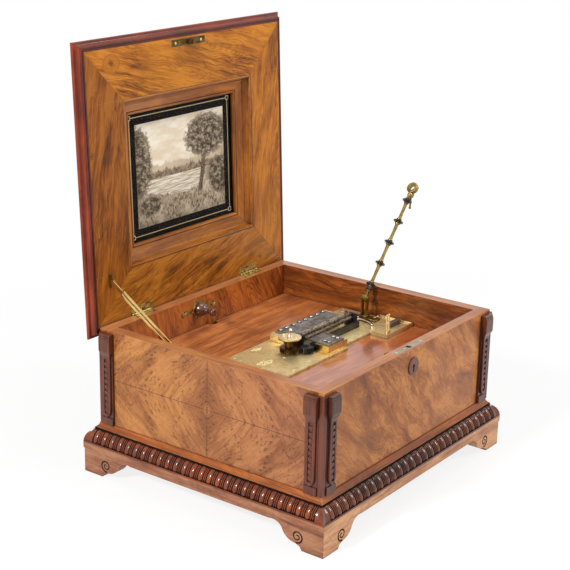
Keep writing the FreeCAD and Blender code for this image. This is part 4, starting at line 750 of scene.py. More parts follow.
def makeGadroon():
    form = {"lobes": 26, "deep": 3.3, "fillet": 0.8, "centre": (-2.13, 54.48), "radius": 24.675,
            "start": 3.53, "end": 63.2, "margin": 2.0, "lip": 22.5, "bottom": 53.0, "top": 76.5,
            "lobeEnd": 14, "filletEnd": 8}
    rows = [form["start"] + share * (form["end"] - form["start"]) for share in
            (0, 0.02, 0.05, 0.09, 0.14, 0.2, 0.27, 0.36, 0.47, 0.6, 0.74, 0.88, 1)]
    wide = [(0.28 + 0.28 * x, 0.28, 0.28, "lobe") for x in
            (-1, -0.96, -0.84, -0.62, -0.34, 0, 0.34, 0.62, 0.84, 0.96, 1)]
    thin = [(middle + 0.075 * x, middle, 0.075, "fillet") for middle in (0.69, 0.88)
            for x in (-1, -0.8, 0, 0.8, 1)]
    period = wide + thin

    def roundEnd(angle, length):
        short = form["start"] + length - angle
        return math.sqrt(max(0.0, 1 - (short / length) ** 2)) if short > 0 else 1.0

    def sunk(place, middle, half, kind, angle):
        across = (place - middle) / half
        open_ = roundEnd(angle, form[kind + "End"])
        if open_ < 0.05 or abs(across) >= open_:
            return form["deep"]
        crown = math.sqrt(1 - (across / open_) ** 2)
        if kind == "lobe":
            return form["deep"] * (1 - crown * (0.45 + 0.55 * open_))
        return form["fillet"] + (form["deep"] - form["fillet"]) * (1 - crown ** 0.6 * (0.5 + 0.5 * open_))

    whole = ([], [])
    columns = []
    for side in range(4):
        half, base = case["half"] if side % 2 == 0 else reversed(case["half"])
        limit = half + form["margin"]
        pitch = 2 * limit / form["lobes"]
        # a station is a place on the side, in the run of lobes or in the leaf over a corner
        stations = [("corner", -share) for share in (1, 0.85, 0.6, 0.3, 0.1, 0.04)]
        stations += [("run", -limit + pitch * (lobe + item[0]), item) for lobe in range(form["lobes"])
                     for item in period]
        stations += [("corner", share) for share in (0.04, 0.1, 0.3, 0.6, 0.85)]
        turn = Matrix.Rotation(math.pi / 2 * side, 4, "Z")
        for station in stations:
            column = [(0.0, form["bottom"]), (form["lip"], form["bottom"])]
            for index, angle in enumerate(rows):
                if station[0] == "run":
                    depth = sunk(*station[2], angle)
                else:
                    share = abs(station[1])
                    depth = form["deep"] if share < 0.05 else 0.3 + 1.6 * math.sin(math.pi * share) ** 0.7
                depth *= 0.0 if index == 0 else 1 - 0.4 * max(0.0, (angle - 50) / 13.2)
                reach = form["radius"] - depth
                column.append((form["centre"][0] + reach * math.cos(math.radians(angle)),
                               form["centre"][1] + reach * math.sin(math.radians(angle))))
            column.append((0.0, form["top"]))
            points = []
            for reach, height in column:
                if station[0] == "run":
                    along = station[1] if reach > 0 else max(-half, min(half, station[1]))
                else:
                    end = math.copysign(1, station[1])
                    share = abs(station[1])
                    along = end * (limit + share * (half + reach - limit)) if reach > 0 else end * half
                points.append(turn @ Vector((along, -base - reach, height)))
            columns.append(points)
    count = len(columns[0])
    for index, points in enumerate(columns):
        whole[0].extend(points)
        near, far = index * count, (index + 1) % len(columns) * count
        for row in range(count):
            above = (row + 1) % count
            whole[1].append((near + row, far + row, far + above, near + above))
    ring = makePiece("gadroonRing", whole, "carvedWood", smooth=48)
    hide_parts("gadroon_moulding")


# console pilasters at the corners

def makePilasters():
    form = {"tongue": 8.6, "tip": 104.0, "channel": 4.7, "sunk": 2.0, "face": 7.3, "shaft": 4.0, "back": 12,
            "dentils": 9, "firstDentil": 113.0, "pitch": 10.2, "dentil": (3.7, 2.2, 6.4), "post": 3.4,
            "widest": 11.85, "capFrom": 222, "capSteps": ((243.2, 12.0), (246.6, 11.2), (251, 10.2)),
            "flare": (209, 13), "bulge": (207, 15), "tongueEnd": (118, 14), "swell": (150, 40, 0.7),
            "fluted": (110, 206.2), "foot": 88.5, "top": 250, "thin": 0.08}

    def softStep(value):
        value = max(0.0, min(1.0, value))
        return value * value * (3 - 2 * value)

    def rowAt(z):
        if z >= form["capFrom"]:
            return form["widest"], next(reach for top, reach in form["capSteps"] if z < top)
        low, length = form["flare"]
        half = form["tongue"] + (form["widest"] - form["tongue"]) * softStep((z - low) / length)
        low, length = form["tongueEnd"]
        if z < low:
            half *= math.sqrt(max(0.0, 1 - ((low - z) / length) ** 2))
        low, length = form["bulge"]
        face = form["face"] + (form["back"] - form["face"]) * softStep((z - low) / length) ** 1.3
        low, length, rise = form["swell"]
        return max(half, form["thin"]), face + rise * softStep((low - z) / length)

    levels = [101.7, 103.9, 104.05, 104.6, 105.6, 107.2, 109.5, 110.4, 112.5, 115, 118, 130, 150, 170, 190,
              205.8, 206.6, 208, 210, 212, 214, 216, 218, 220, 221.9, 222.1, 243, 243.4, 246.4, 246.8, 250]
    spots = [(-232, -225, 0), (232, -225, 0), (-250, -207, -90), (-250, 207, -90), (250, -207, 90),
             (250, 207, 90)]
    whole = ([], [])
    grid = []
    for z in levels:
        half, face = rowAt(z)
        if z < form["tip"]:
            half, face = form["thin"], form["shaft"]
        slot = min(form["channel"], 0.45 * half)
        floor = face - form["sunk"] if form["fluted"][0] < z < form["fluted"][1] else face
        inner = [(-form["back"], 0), (-form["back"], form["shaft"]), (-half - 0.05, form["shaft"]),
                 (-half, face - 0.6), (-half + min(0.8, half * 0.3), face), (-slot - 0.25, face),
                 (-slot, floor)]
        if z < form["tip"]:
            inner = [(x, 0 if index == 0 else form["shaft"]) for index, (x, reach) in enumerate(inner)]
        grid.append(inner + [(-x, reach) for x, reach in reversed(inner)])
    shape = ([], [])
    count = len(grid[0])
    for z, row in zip(levels, grid):
        shape[0].extend((x, -reach, z) for x, reach in row)
    for level in range(len(levels) - 1):
        near, far = level * count, (level + 1) * count
        for step in range(count):
            beside = (step + 1) % count
            shape[1].append((near + step, near + beside, far + beside, far + step))
    shape[1].append(tuple(reversed(range(count))))
    shape[1].append(tuple(range((len(levels) - 1) * count, len(levels) * count)))
    dentils = ([], [])
    for index in range(form["dentils"]):
        z = form["firstDentil"] + form["pitch"] * index
        half, deep, tall = form["dentil"]
        front = -form["face"] + 0.2
        addShape(dentils, block((-half, front, z), (half, front + deep, z + tall), 0.6))
    foot = block((-form["back"], -6, form["foot"]), (form["back"], 0, 101.8), 0.5)
    for x, y, angle in spots:
        move = Matrix.Translation((x, y, 0)) @ Matrix.Rotation(math.radians(angle), 4, "Z")
        for part in (shape, dentils, foot):
            addShape(whole, part, move)
    post = form["post"]
    for side in (-1, 1):
        for low, high in (((244, -225 - post), (250, -225)), ((250, -225 - post), (250 + post, -219)),
                          ((250, 219), (250 + post, 225))):
            ends = sorted((side * low[0], side * high[0]))
            addShape(whole, block((ends[0], low[1], form["foot"]), (ends[1], high[1], form["top"]), 0.35))
    piece = makePiece("cornerConsoles", whole, "pilasterWood", smooth=32)
    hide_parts("corner_pilasters")


# plinth boards with a fascia and a cut scroll on every foot

def makePlinth():
    form = {"recess": 1.3, "rise": 21.5, "radius": 9.4, "groove": 1.55, "front": 222.5, "side": 197.5}
    scrolls = ([], [])
    for face in range(4):
        reach = (247.5 if face % 2 == 0 else 272.5) - form["recess"]
        place = form["front"] if face % 2 == 0 else form["side"]
        for side in (-1, 1):
            path, width = [], []
            for step in range(49):
                share = step / 48
                turn = math.radians(-105 + 590 * share)
                radius = form["radius"] * (1 - share) ** 0.85 + 1.3
                path.append((side * (place + radius * math.cos(turn)), -reach,
                             form["rise"] + radius * math.sin(turn)))
                width.append(form["groove"] * (1.15 - 0.4 * share))
            addShape(scrolls, tube(path, width, (0, 1, 0), 6), Matrix.Rotation(math.pi / 2 * face, 4, "Z"))
    mesh = bpy.data.meshes.new("scrollCutter")
    mesh.from_pydata([caseSpace @ (Vector(point) * mm) for point in scrolls[0]], [], scrolls[1])
    # the groove faces take scrollShade: painted shade inside the cut
    mesh.materials.append(looks["scrollShade"])
    work = bmesh.new()
    work.from_mesh(mesh)
    bmesh.ops.recalc_face_normals(work, faces=work.faces[:])
    work.to_mesh(mesh)
    work.free()
    cutter = placed("scrollCutter", mesh)
    for nodeName, newName in (("base_front", "plinthFront"), ("base_back", "plinthBack"),
                              ("base_left", "plinthLeft"), ("base_right", "plinthRight")):
        source = nodes[nodeName]
        board = placed(newName, source.data.copy(), source.matrix_world)
        carve = board.modifiers.new("carve", "BOOLEAN")
        carve.operation = "DIFFERENCE"
        carve.solver = "EXACT"
        carve.material_mode = "TRANSFER"
        carve.object = cutter
        bpy.context.view_layer.update()
        carved = bpy.data.meshes.new_from_object(board.evaluated_get(bpy.context.evaluated_depsgraph_get()))
        board.modifiers.clear()
        board.data = carved
        if "custom_normal" in carved.attributes:
            carved.attributes.remove(carved.attributes["custom_normal"])
        carved.shade_smooth()
        carved.set_sharp_from_angle(angle=math.radians(30))
        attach(board, "case")
        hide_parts(nodeName)
    bpy.data.objects.remove(cutter)


makeGadroon()
makePilasters()
makePlinth()
print("plinth and mouldings built")


# the lid's mouldings

# a flat ring stood up on the lid's inner face
ringInLid = Matrix(((1, 0, 0, 0), (0, 0, 1, 0), (0, 1, 0, case["pictureHeight"]), (0, 0, 0, 1)))


def makeLidMouldings():
    form = {"sight": (137.0, 109.6), "rails": (250.6, 226.5), "back": 23.4, "edgeBack": 14.9, "lift": 0.1}
    quarter = [11.25 * step for step in range(9)]
    halfTurn = range(0, 181, 20)
    profile = [(0, form["back"]), (0, 19.8), (0.5, 19.0), (1.6, 18.6)]
    profile += arc((3.4, 18.3), (-1.7, -1.7), halfTurn)
    profile += [(5.6, 18.0), (6.0, 17.2), (18.4, 12.8), (19.2, 12.4), (19.4, 11.2)]
    profile += arc((19.7, 1.2), (6.6, 9.8), reversed(quarter))
    profile += [(26.9, 1.3), (27.0, 2.4)] + arc((29.25, 1.7), (-2.1, -2.0), halfTurn)
    profile += [(31.45, 3.0), (31.5, form["back"])]
    whole = ([], [])
    addShape(whole, mitredRing(profile, *form["sight"]), ringInLid)
    ring = makePiece("pictureFrame", whole, "frameWood", "lid", lidSpace, 28)
    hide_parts("picture_moulding")
    edge = [(0, form["edgeBack"]), (0, 0.3), (0.3, 0), (3.0, 0), (3.3, 0.9), (4.2, 0.9), (4.5, 0), (6.9, 0),
            (7.4, 0.5), (7.4, 1.6), (8.0, 1.9)]
    edge += arc((13.4, 2.3), (-5.2, 6.2), quarter) + [(13.6, 9.0), (14.6, 9.1)]
    edge += arc((14.5, 12.1), (1.5, 2.7), range(-70, 71, 20)) + [(14.6, form["edgeBack"])]
    whole = ([], [])
    addShape(whole, mitredRing(edge, *form["rails"]), Matrix.Translation((0, 0, form["lift"])) @ ringInLid)
    ring = makePiece("lidEdge", whole, "edgeMahogany", "lid", lidSpace, 28)
    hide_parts("lid_edge_moulding")


# the picture: a landscape print in a black mat with a gilt line, under glass

def paneGlass():
    tree, shader, where = startMaterial("paneGlass")
    smear = ramp(tree, noise(tree, where, 14.0, 4.0, 0.6), 0.45, 0.75, 0.0, 0.02)
    feed(tree, shader, {"Base Color": (1, 1, 1, 1), "Transmission Weight": 1.0, "IOR": 1.05,
                        "Roughness": smear})
    clear = addNode(tree, "ShaderNodeBsdfTransparent").outputs[0]
    mixed = mixShaders(tree, anyRay(tree, "Is Shadow Ray", "Is Diffuse Ray"),
                       tree.nodes["Principled BSDF"].outputs[0], clear)
    feed(tree, tree.nodes["Material Output"].inputs, {"Surface": mixed})


def printedView():
    # a lake among hills, with a leaning tree on one bank: all in warm browns, u across and v up
    form = {"middle": (0, 26, 223.4), "half": (116.5, 89.1),
            "crowns": (((0.58, 0.52), (0.52, 0.46)), ((-0.98, 0.25), (0.34, 0.75)),
                       ((-0.72, -0.62), (0.26, 0.2)), ((0.9, -0.35), (0.3, 0.42)))}
    ink = {"pale": (255, 248, 230), "sky": (238, 222, 194), "hill": (186, 162, 132), "wood": (146, 120, 92),
           "deep": (54, 38, 24), "black": (16, 10, 5), "grass": (214, 192, 160)}
    ink = {name: tone(*shade) for name, shade in ink.items()}
    tree, shader, where = startMaterial("printedView")
    parts = axesOf(tree, moved(tree, "SUBTRACT", where, lidSpace @ metres(form["middle"])))
    u = calc(tree, "DIVIDE", parts["X"], form["half"][0] * mm)
    v = calc(tree, "DIVIDE", parts["Z"], form["half"][1] * mm)
    place = joined(tree, u, v)

    def drawn(across, up, *settings):
        return noise(tree, stretched(tree, place, across, up, 1), *settings)

    def below(height, soft):
        return ramp(tree, minus(tree, height, v), -soft, soft)

    def crown(centre, reach, grow):
        # how far inside a leafy crown a point lies
        right = calc(tree, "DIVIDE", minus(tree, u, centre[0]), reach[0])
        above = calc(tree, "DIVIDE", minus(tree, v, centre[1]), reach[1])
        away = plus(tree, hypot(tree, right, above), grow / 2)
        return ramp(tree, scaled(tree, leaves, -grow, away), 1.0, 0.86)

    def paint(colour, cover, mask, first, last):
        # over the colour, where it covers, one ink run into another
        return blend(tree, cover, colour, blend(tree, mask, first, last))

    coarse = noise(tree, place, 2.3, 6.0, 0.62)
    leaves = noise(tree, place, 11.0, 9.0, 0.78)
    dots = noise(tree, place, 46.0, 3.0, 0.7)
    ragged = drawn(1, 0, 7.0, 6.0, 0.75)
    cloud = ramp(tree, drawn(1, 2.2, 1.9, 5.0, 0.6), 0.42, 0.62)
    colour = blend(tree, cloud, ink["sky"], ink["pale"])
    hills = scaled(tree, drawn(1, 0, 1.7, 4.0, 0.6), 0.9, -0.30)
    colour = paint(colour, below(hills, 0.02), coarse, ink["hill"], ink["sky"])
    copse = scaled(tree, ragged, 0.55, -0.26)
    colour = paint(colour, below(copse, 0.03), ramp(tree, leaves, 0.35, 0.65), ink["deep"], ink["hill"])
    water = times(tree, below(-0.12, 0.012), ramp(tree, absolute(tree, plus(tree, u, 0.22)), 0.95, 0.55))
    ripple = ramp(tree, drawn(1.2, 14, 3.0, 5.0, 0.6), 0.36, 0.60)
    colour = paint(colour, water, ripple, ink["hill"], ink["pale"])
    bank = scaled(tree, times(tree, u, u), 0.28, scaled(tree, ragged, 0.3, -0.66))
    sward = blend(tree, ramp(tree, drawn(1, 0.35, 34.0, 5.0, 0.75), 0.36, 0.62), ink["deep"], ink["grass"])
    sward = blend(tree, ramp(tree, coarse, 0.45, 0.62, 0.0, 0.7), sward, ink["sky"])
    colour = blend(tree, below(bank, 0.02), colour, sward)
    lean = plus(tree, scaled(tree, v, 0.16, 0.50), times(tree, minus(tree, coarse, 0.5), 0.14))
    trunk = ramp(tree, absolute(tree, minus(tree, u, lean)), 0.052, 0.036)
    trunk = times(tree, trunk, times(tree, ramp(tree, v, -0.62, -0.56), ramp(tree, v, 0.75, 0.5)))
    colour = paint(colour, trunk, ramp(tree, dots, 0.4, 0.6), ink["black"], ink["wood"])
    foliage = blend(tree, ramp(tree, leaves, 0.44, 0.62), ink["deep"], ink["grass"])
    foliage = blend(tree, ramp(tree, dots, 0.45, 0.60, 0.0, 0.75), foliage, ink["black"])
    for centre, reach in form["crowns"]:
        colour = blend(tree, crown(centre, reach, 1.5), colour, foliage)
    edge = calc(tree, "MAXIMUM", absolute(tree, u), absolute(tree, v))
    colour = blend(tree, ramp(tree, edge, 0.80, 1.0, 0.0, 0.22), colour, ink["deep"])
    colour = blend(tree, ramp(tree, dots, 0.3, 0.7, 0.0, 0.10), colour, ink["pale"])
    feed(tree, shader, {"Base Color": colour, "Specular IOR Level": 0.04,
                        "Roughness": ramp(tree, coarse, 0.3, 0.7, 0.55, 0.68)})
    addBump(tree, shader, dots, 0.05, 0.0002)


def makePicture():
    form = {"print": (116.5, 89.1), "line": (129.5, 102.1), "square": 3.2, "thick": 0.45, "mat": 25.75,
            "matBack": 26.3, "matReach": 33.0, "cut": 0.3, "lineHeight": (0.07, 0.02)}
    paneGlass()
    printedView()
    dressNode("picture_glass", looks["paneGlass"])
    dressNode("picture_print", looks["printedView"])
    top, under = [form["mat"] - height for height in form["lineHeight"]]
    mat = ([], [])
    section = [(-0.6, under), (form["matReach"], under), (form["matReach"], form["matBack"]),
               (0.1, form["matBack"]), (0.1, form["mat"] + form["cut"])]
    addShape(mat, mitredRing(section, *form["print"]), ringInLid)
    makePiece("pictureMat", mat, "matBlack", "lid", lidSpace, 30)
    gilt = ([], [])
    half = form["thick"]
    across, up = form["line"]
    square = form["square"]
    for side in (-1, 1):
        addShape(gilt, block((-across + square, side * up - half, top),
                             (across - square, side * up + half, under), 0.01), ringInLid)
        addShape(gilt, block((side * across - half, -up + square, top),
                             (side * across + half, up - square, under), 0.01), ringInLid)
        for end in (-1, 1):
            corner = mitredRing([(-half, under), (-half, top), (half, top), (half, under)], square, square)
            addShape(gilt, corner, ringInLid @ Matrix.Translation((side * across, end * up, 0)))
    makePiece("giltLine", gilt, "giltLine", "lid", lidSpace, 30)


# screws, hinge leaves and plates

def addHeads(whole, spots, radius, rise, normal=(0, 0, 1), spin=None):
    # a screw head at each spot, its slot turned by chance unless a spin is given
    for spot in spots:
        turn = random.uniform(0, 3) if spin is None else spin
        addShape(whole, slottedHead(radius, rise), facing(spot, normal, turn))


def makeFasteners():
    form = {"count": 8, "head": 3.4, "rise": 2.6, "fromBack": 6.0, "fromEnd": 10.0, "frontRows": (6.9, 16.1),
            "headShade": ((0, -0.1), (4.7, -0.1), (4.7, 0.25), (3.3, 0.3), (0, 0.3)),
            "hinge": [centre + across for centre in (-147, 147) for across in (-17, 0, 17)],
            "strike": (-36, -13, 13, 36), "lidStrike": (-33, 33), "knobPlate": (-61, 19),
            "post": (196.5, 206), "hingeAt": (219.4, 255.0), "strikeAt": (-214.7, 255.0),
            "knobPlateAt": (202.5, 232.5), "postAt": (-24.0, 208.5), "lidHingeAt": (0, 8.4),
            "lidStrikeAt": (0, 440.9), "flush": 0.12, "hingeHead": 2.6,
            "bedplate": ((-90, -53), (-108, 55), (-60, 56), (-8, -52), (60, -44), (120, -44), (215, 55),
                         (190, -10), (221, -24), (149, -60), (205, 52), (-112, -4)),
            "stay": ((-229.5, 82.0, 248.5), (-229.5, 94.0, 248.5))}
    comb = [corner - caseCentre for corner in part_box("long_comb")]
    front = [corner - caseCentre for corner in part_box("front_comb")]
    step = (comb[1].x - comb[0].x) / mm / form["count"]
    top = comb[1].z / mm
    spots = [(comb[0].x / mm + step * (index + 0.5), comb[1].y / mm - form["fromBack"], top)
             for index in range(form["count"])]
    spots += [(across, front[0].y / mm + back, top)
              for across in (front[0].x / mm + form["fromEnd"], front[1].x / mm - form["fromEnd"])
              for back in form["frontRows"]]
    heads, headShades, small, lidHeads = [([], []) for kind in range(4)]

    def rowOf(name, place):
        return [(across, *form[place]) for across in form[name]]

    # a dark disc under each comb screw head: painted shade round the heads
    for spot in spots:
        addShape(headShades, spun(form["headShade"], 20), Matrix.Translation(spot))
    addHeads(heads, spots, form["head"], form["rise"])
    piece = makePiece("combScrewHeads", heads, "screwSteel")
    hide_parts("comb_screws")
    makePiece("combScrewShades", headShades, "blackIron")
    addHeads(small, rowOf("hinge", "hingeAt"), form["hingeHead"], form["flush"])
    addHeads(small, rowOf("strike", "strikeAt"), 2.2, form["flush"])
    addHeads(small, rowOf("knobPlate", "knobPlateAt"), 2.3, 0.8, (0, -1, 0))
    addHeads(small, [(across, back, case["plateTop"]) for across, back in form["bedplate"]], 3.1, 1.0)
    addHeads(small, rowOf("post", "postAt"), 2.4, 1.2)
    addHeads(small, form["stay"], 1.4, 0.8, (1, 0, 0), 0.7)
    makePiece("plateScrews", small, "dullBrass")
    addHeads(lidHeads, rowOf("hinge", "lidHingeAt"), form["hingeHead"], form["flush"], (0, -1, 0))
    addHeads(lidHeads, rowOf("lidStrike", "lidStrikeAt"), 2.4, form["flush"], (0, -1, 0))
    makePiece("lidScrews", lidHeads, "brightBrass", "lid", lidSpace)


def makeKnob():
    form = {"place": (-21, 202.5, 232.5), "profile": (
        (3, -10), (3, 0.3), (11.6, 0.3), (12.7, 0.9), (13, 2.2), (12.9, 4.2), (12.3, 6.4), (11.2, 8.6),
        (9.6, 10.8), (7.8, 12.5), (6.3, 13.5), (6.7, 14.2), (7.0, 15.0), (6.6, 15.8), (5.3, 16.5), (4.7, 18),
        (4.5, 20.5), (4.9, 23), (5.9, 25.4), (7.0, 27.2), (7.4, 28.5), (7.4, 30.6), (7.0, 32.2), (6.0, 33.2),
        (4.8, 33.5), (3.4, 33.0), (2.6, 33.2), (0, 33.5))}
    knob = makePiece("turnedKnob", spun(form["profile"], 40), "turnedWood", "wall_knob",
                     caseSpace @ facing(metres(form["place"]), (0, -1, 0)), 40)
    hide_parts("wall_knob")


# the disc's bar, with its collars, rollers and catch

def makeBar():
    form = {"rod": 3.3, "hub": 228.0, "bore": 5.2, "eye": 5.2, "half": 3.3, "rollers": 5, "first": 27.0,
            "pitch": 43.5, "cheeks": (3.75, 5.85),
            "sleeve": ((3.5, 16.2), (5.5, 16.2), (5.9, 16.6), (5.9, 21.2), (5.5, 21.6), (3.5, 21.6)),
            "roller": ((3.55, -2.6), (4.8, -2.6), (5.3, -2.1), (5.4, -1.3), (7.6, -1.1), (8.7, -1.0),
                       (9.15, -0.5), (9.2, 0), (9.15, 0.5), (8.7, 1.0), (7.6, 1.1), (5.4, 1.3), (5.3, 2.1),
                       (4.8, 2.6), (3.55, 2.6)),
            "catch": ((224.0, 0, -5.9), (219.5, 0, -5.2), (215.5, 0, -5.4), (211.5, 0, -7.6), (206, 0, -11.0),
                      (200.5, 0, -14.8), (197, 0, -17.8), (195.6, 0, -19.3), (194.6, 0, -18.6),
                      (194.8, 0, -17.0), (196.2, 0, -16.0)),
            "waist": ((5, 0), (4.4, 4.0), (3.3, 9.0), (3.3, 19.0), (4.6, 25.0), (5.0, 29.0), (5.0, 32.0))}
    alongBar = facing((0, 0, 0), (1, 0, 0))
    acrossBar = facing((0, 0, 0), (0, 1, 0))
    whole = ([], [])
    addShape(whole, spun([(2.1, -form["half"]), (form["eye"] - 0.5, -form["half"]),
                          (form["eye"], -form["half"] + 0.5), (form["eye"], form["half"] - 0.5),
                          (form["eye"] - 0.5, form["half"]), (2.1, form["half"])], 28, ring=True), acrossBar)
    addShape(whole, block((4.0, -2.7, -3.2), (13.5, 2.7, 3.2), 0.8))
    rod = form["rod"]
    half = [(rod, 3.8), (4.7, 4.0), (4.9, 4.6), (4.7, 5.2), (rod, 5.4), (rod, 7.2)]
    collar = [(radius, -along) for radius, along in reversed(half)] + half
    neck = [(2.9, 12.0), (2.75, 21.5)]
    stem = [(0, 12.5), (4.6, 12.5), (5.3, 13.0), (5.3, 14.2), (4.4, 14.9), (3.9, 15.4)]
    for index in range(form["rollers"]):
        reach = form["first"] + form["pitch"] * index
        stem += [(radius, reach + along) for radius, along in collar + neck]
    stem = stem[:-2] + [(3.2, 209.0), (4.3, 212.0), (4.6, 214.5), (4.2, 216.6), (3.3, 217.8), (3.2, 220.0),
                        (0, 220.0)]
    addShape(whole, spun(stem, 28), alongBar)
    hub = [(form["bore"], -3.9), (9.7, -3.9), (10.5, -3.2), (10.8, -2.0), (10.8, 2.0), (10.5, 3.2),
           (9.7, 3.9), (8.6, 4.2), (form["bore"] + 0.5, 4.2), (form["bore"], 3.8)]
    addShape(whole, spun(hub, 40, ring=True), Matrix.Translation((form["hub"], 0, 0)))
    for side in (-1, 1):
        low, high = sorted((side * 2.3, side * 3.7))
        addShape(whole, block((212.2, low, -8.9), (219.8, high, 0), 0.35))
    addShape(whole, spun([(0, -3.9), (1.0, -3.9), (1.0, 3.9), (0, 3.9)], 16),
             Matrix.Translation((216, 0, -7)) @ acrossBar)
    upright = ([], [])
    atPivot = Matrix.Translation(case["barPivot"])
    onBar = atPivot @ barTurn
    addShape(upright, whole, onBar)
    bar = makePiece("discBar", upright, "barBrass", "pressure_bar", caseSpace, 35)
    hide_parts("pressure_bar")
    makePiece("barSleeve", spun(form["sleeve"], 18, ring=True), "rollerBlack", "pressure_bar",
              barSpace @ alongBar, 20)
    for index in range(form["rollers"]):
        name = f"roller_{index + 1}"
        place = barSpace @ Matrix.Translation(((form["first"] + form["pitch"] * index) * mm, 0, 0)) @ alongBar
        piece = makePiece(f"discRoller{index + 1}", spun(form["roller"], 40, ring=True), "rollerBlack",
                          name, place, 35)
        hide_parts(name)
    hook = ([], [])
    addShape(hook, tube(form["catch"], 0.75, (0, 1, 0), 10, flat=2.6), onBar)
    latch = makePiece("barCatch", hook, "barBrass", "bar_latch", caseSpace, 40)
    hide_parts("bar_latch")
    post = ([], [])
    addShape(post, block((190.0, -28.0, case["plateTop"]), (208.0, 14.0, 205.6), 0.5))
    addShape(post, block((192.2, -7.6, 205.0), (206.8, 7.6, 208.5), 0.6))
    outline = [(-x, z) for x, z in form["waist"]] + arc((0, 32.0), (-5.0, 4.9), range(15, 180, 15))
    outline += reversed(form["waist"])
    count = len(outline)
    for side in (-1, 1):
        cheek = ([], [])
        near, far = sorted(side * reach for reach in form["cheeks"])
        cheek[0].extend([(x, near, z) for x, z in outline] + [(x, far, z) for x, z in outline])
        cheek[1].append(tuple(range(count)))
        cheek[1].append(tuple(reversed(range(count, 2 * count))))
        cheek[1].extend((index, (index + 1) % count, count + (index + 1) % count, count + index)
                        for index in range(count))
        addShape(post, cheek, Matrix.Translation((199.5, 0, 208.3)))
        addShape(post, spun([(0, 5.6), (3.2, 5.6), (3.4, 6.0), (3.2, 6.9), (2.2, 7.5), (0, 7.7)], 20),
                 atPivot @ facing((0, 0, 0), (0, side, 0)))
    addShape(post, spun([(0, -6.5), (1.9, -6.5), (1.9, 6.5), (0, 6.5)], 16), atPivot @ acrossBar)
    stand = makePiece("barStand", post, "barBrass", smooth=40)
    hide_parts("bar_post")


# small things on the bedplate

def makeBedplateTrim():
    form = {"level": 201.6, "ornaments": (((-93, 3), 20.0), ((-53, 52), 13.0)), "lean": -12,
            "leaves": (35, 62, 118, 145), "rosette": (-55, -8), "pivot": (183, 4), "stop": (166, -39),
            "arm": ((183, 8), (184.4, -2), (184, -12), (181, -22), (176, -31), (171, -37), (167.5, -39)),
            "armWidth": (3.2, 3.0, 2.8, 2.6, 2.3, 2.0, 1.4), "armLevel": 203.8}

    def scroll(side, size, turns, start):
        path, width = [], []
        for step in range(26):
            share = step / 25
            turn = math.radians(start + turns * share)
            radius = size * (1 - 0.78 * share)
            path.append((side * (size * 1.15 + radius * math.cos(turn)), radius * math.sin(turn), 0))
            width.append(1.05 - 0.4 * share)
        return tube(path, width, (0, 0, 1), 8, flat=0.55)

    def ornament(spot, size):
        # scrolls pressed up out of the plate, the same on both sides of their middle
        shape = ([], [])
        for side in (-1, 1):
            beside = Matrix.Translation((side * size * 0.52, 0, 0))
            addShape(shape, scroll(side, size * 0.34, 430, 180))
            addShape(shape, scroll(side, size * 0.17, -380, 150), beside)
            for turn in form["leaves"]:
                across, up = math.cos(math.radians(turn)), math.sin(math.radians(turn))
                leaf = [(side * size * 0.16 * across, size * 0.12, 0),
                        (side * size * 0.36 * across, size * 0.50 * up, 0)]
                addShape(shape, tube(leaf, [1.3, 0.6], (0, 0, 1), 8, flat=0.5))
        bead = spun([(1.5, -0.2), (1.5, 0.2), (1.1, 0.5), (0, 0.62)], 16)
        for across in (-1, 0, 1):
            addShape(shape, bead, Matrix.Translation((across * size * 0.30, -size * 0.36, 0)))
        addShape(whole, shape, facing((*spot, form["level"]), (0, 0, 1), math.radians(form["lean"])))

    whole = ([], [])
    for spot, size in form["ornaments"]:
        ornament(spot, size)
    bead = spun([(2.6, -0.2), (2.6, 0.2), (1.9, 0.45), (1.9, 0.1), (0.9, 0.1), (0.9, 0.5), (0, 0.6)], 24)
    addShape(whole, bead, Matrix.Translation((*form["rosette"], form["level"])))
    makePiece("plateOrnament", whole, "paleBrass")
    lever = ([], [])
    arm = [(*spot, form["armLevel"]) for spot in form["arm"]]
    addShape(lever, tube(arm, form["armWidth"], (0, 0, 1), 10, flat=0.6))
    addShape(lever, spun([(0, 201.6), (4.2, 201.6), (4.2, 204.2), (3.6, 205.0), (2.2, 205.4), (2.2, 207.6),
                          (1.6, 208.4), (0, 208.6)], 24), Matrix.Translation((*form["pivot"], 0)))
    addShape(lever, spun([(0, 201.6), (2.6, 201.6), (2.6, 206.4), (2.1, 207.4), (0, 207.8)], 20),
             Matrix.Translation((*form["stop"], 0)))
    makePiece("tripLever", lever, "brightSteel", smooth=45)


def makeStartFork():
    form = {"foot": (3.4, 3.4), "prong": (1.6, 1.0), "apart": 2.1, "bridge": (1.1, 2.2), "rise": (19.0, 21.0)}
    low, high = [(corner - caseCentre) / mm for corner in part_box("start_lever")]
    middle = (low + high) / 2
    fork = ([], [])

    def addBlock(halfX, halfY, bottom, top, bevel, shift=0.0):
        addShape(fork, block((middle.x - halfX, middle.y + shift - halfY, bottom),
                             (middle.x + halfX, middle.y + shift + halfY, top), bevel))

    addBlock(*form["foot"], low.z, low.z + 5, 0.6)
    for side in (-1, 1):
        addBlock(*form["prong"], low.z + 4.5, high.z - 0.6 - side * 1.2, 0.5, side * form["apart"])
    bottom, top = form["rise"]
    addBlock(*form["bridge"], low.z + bottom, low.z + top, 0.4)
    piece = makePiece("startFork", fork, "paleBrass", "start_lever")
    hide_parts("start_lever")


def makeShadowLine():
    # a near-black ring where the waist moulding meets the gadroon: a painted shadow line
    ring = mitredRing([(6.5, 76.45), (8.6, 76.45), (8.6, 79.2), (6.5, 79.2)], *case["half"])
    makePiece("waistShadowBand", ring, "jointShade")


makeStartFork()
makeShadowLine()
makeLidMouldings()
makePicture()
makeFasteners()
makeKnob()
makeBar()
makeBedplateTrim()
print("picture, bar and small pieces built")


# light, floor and camera

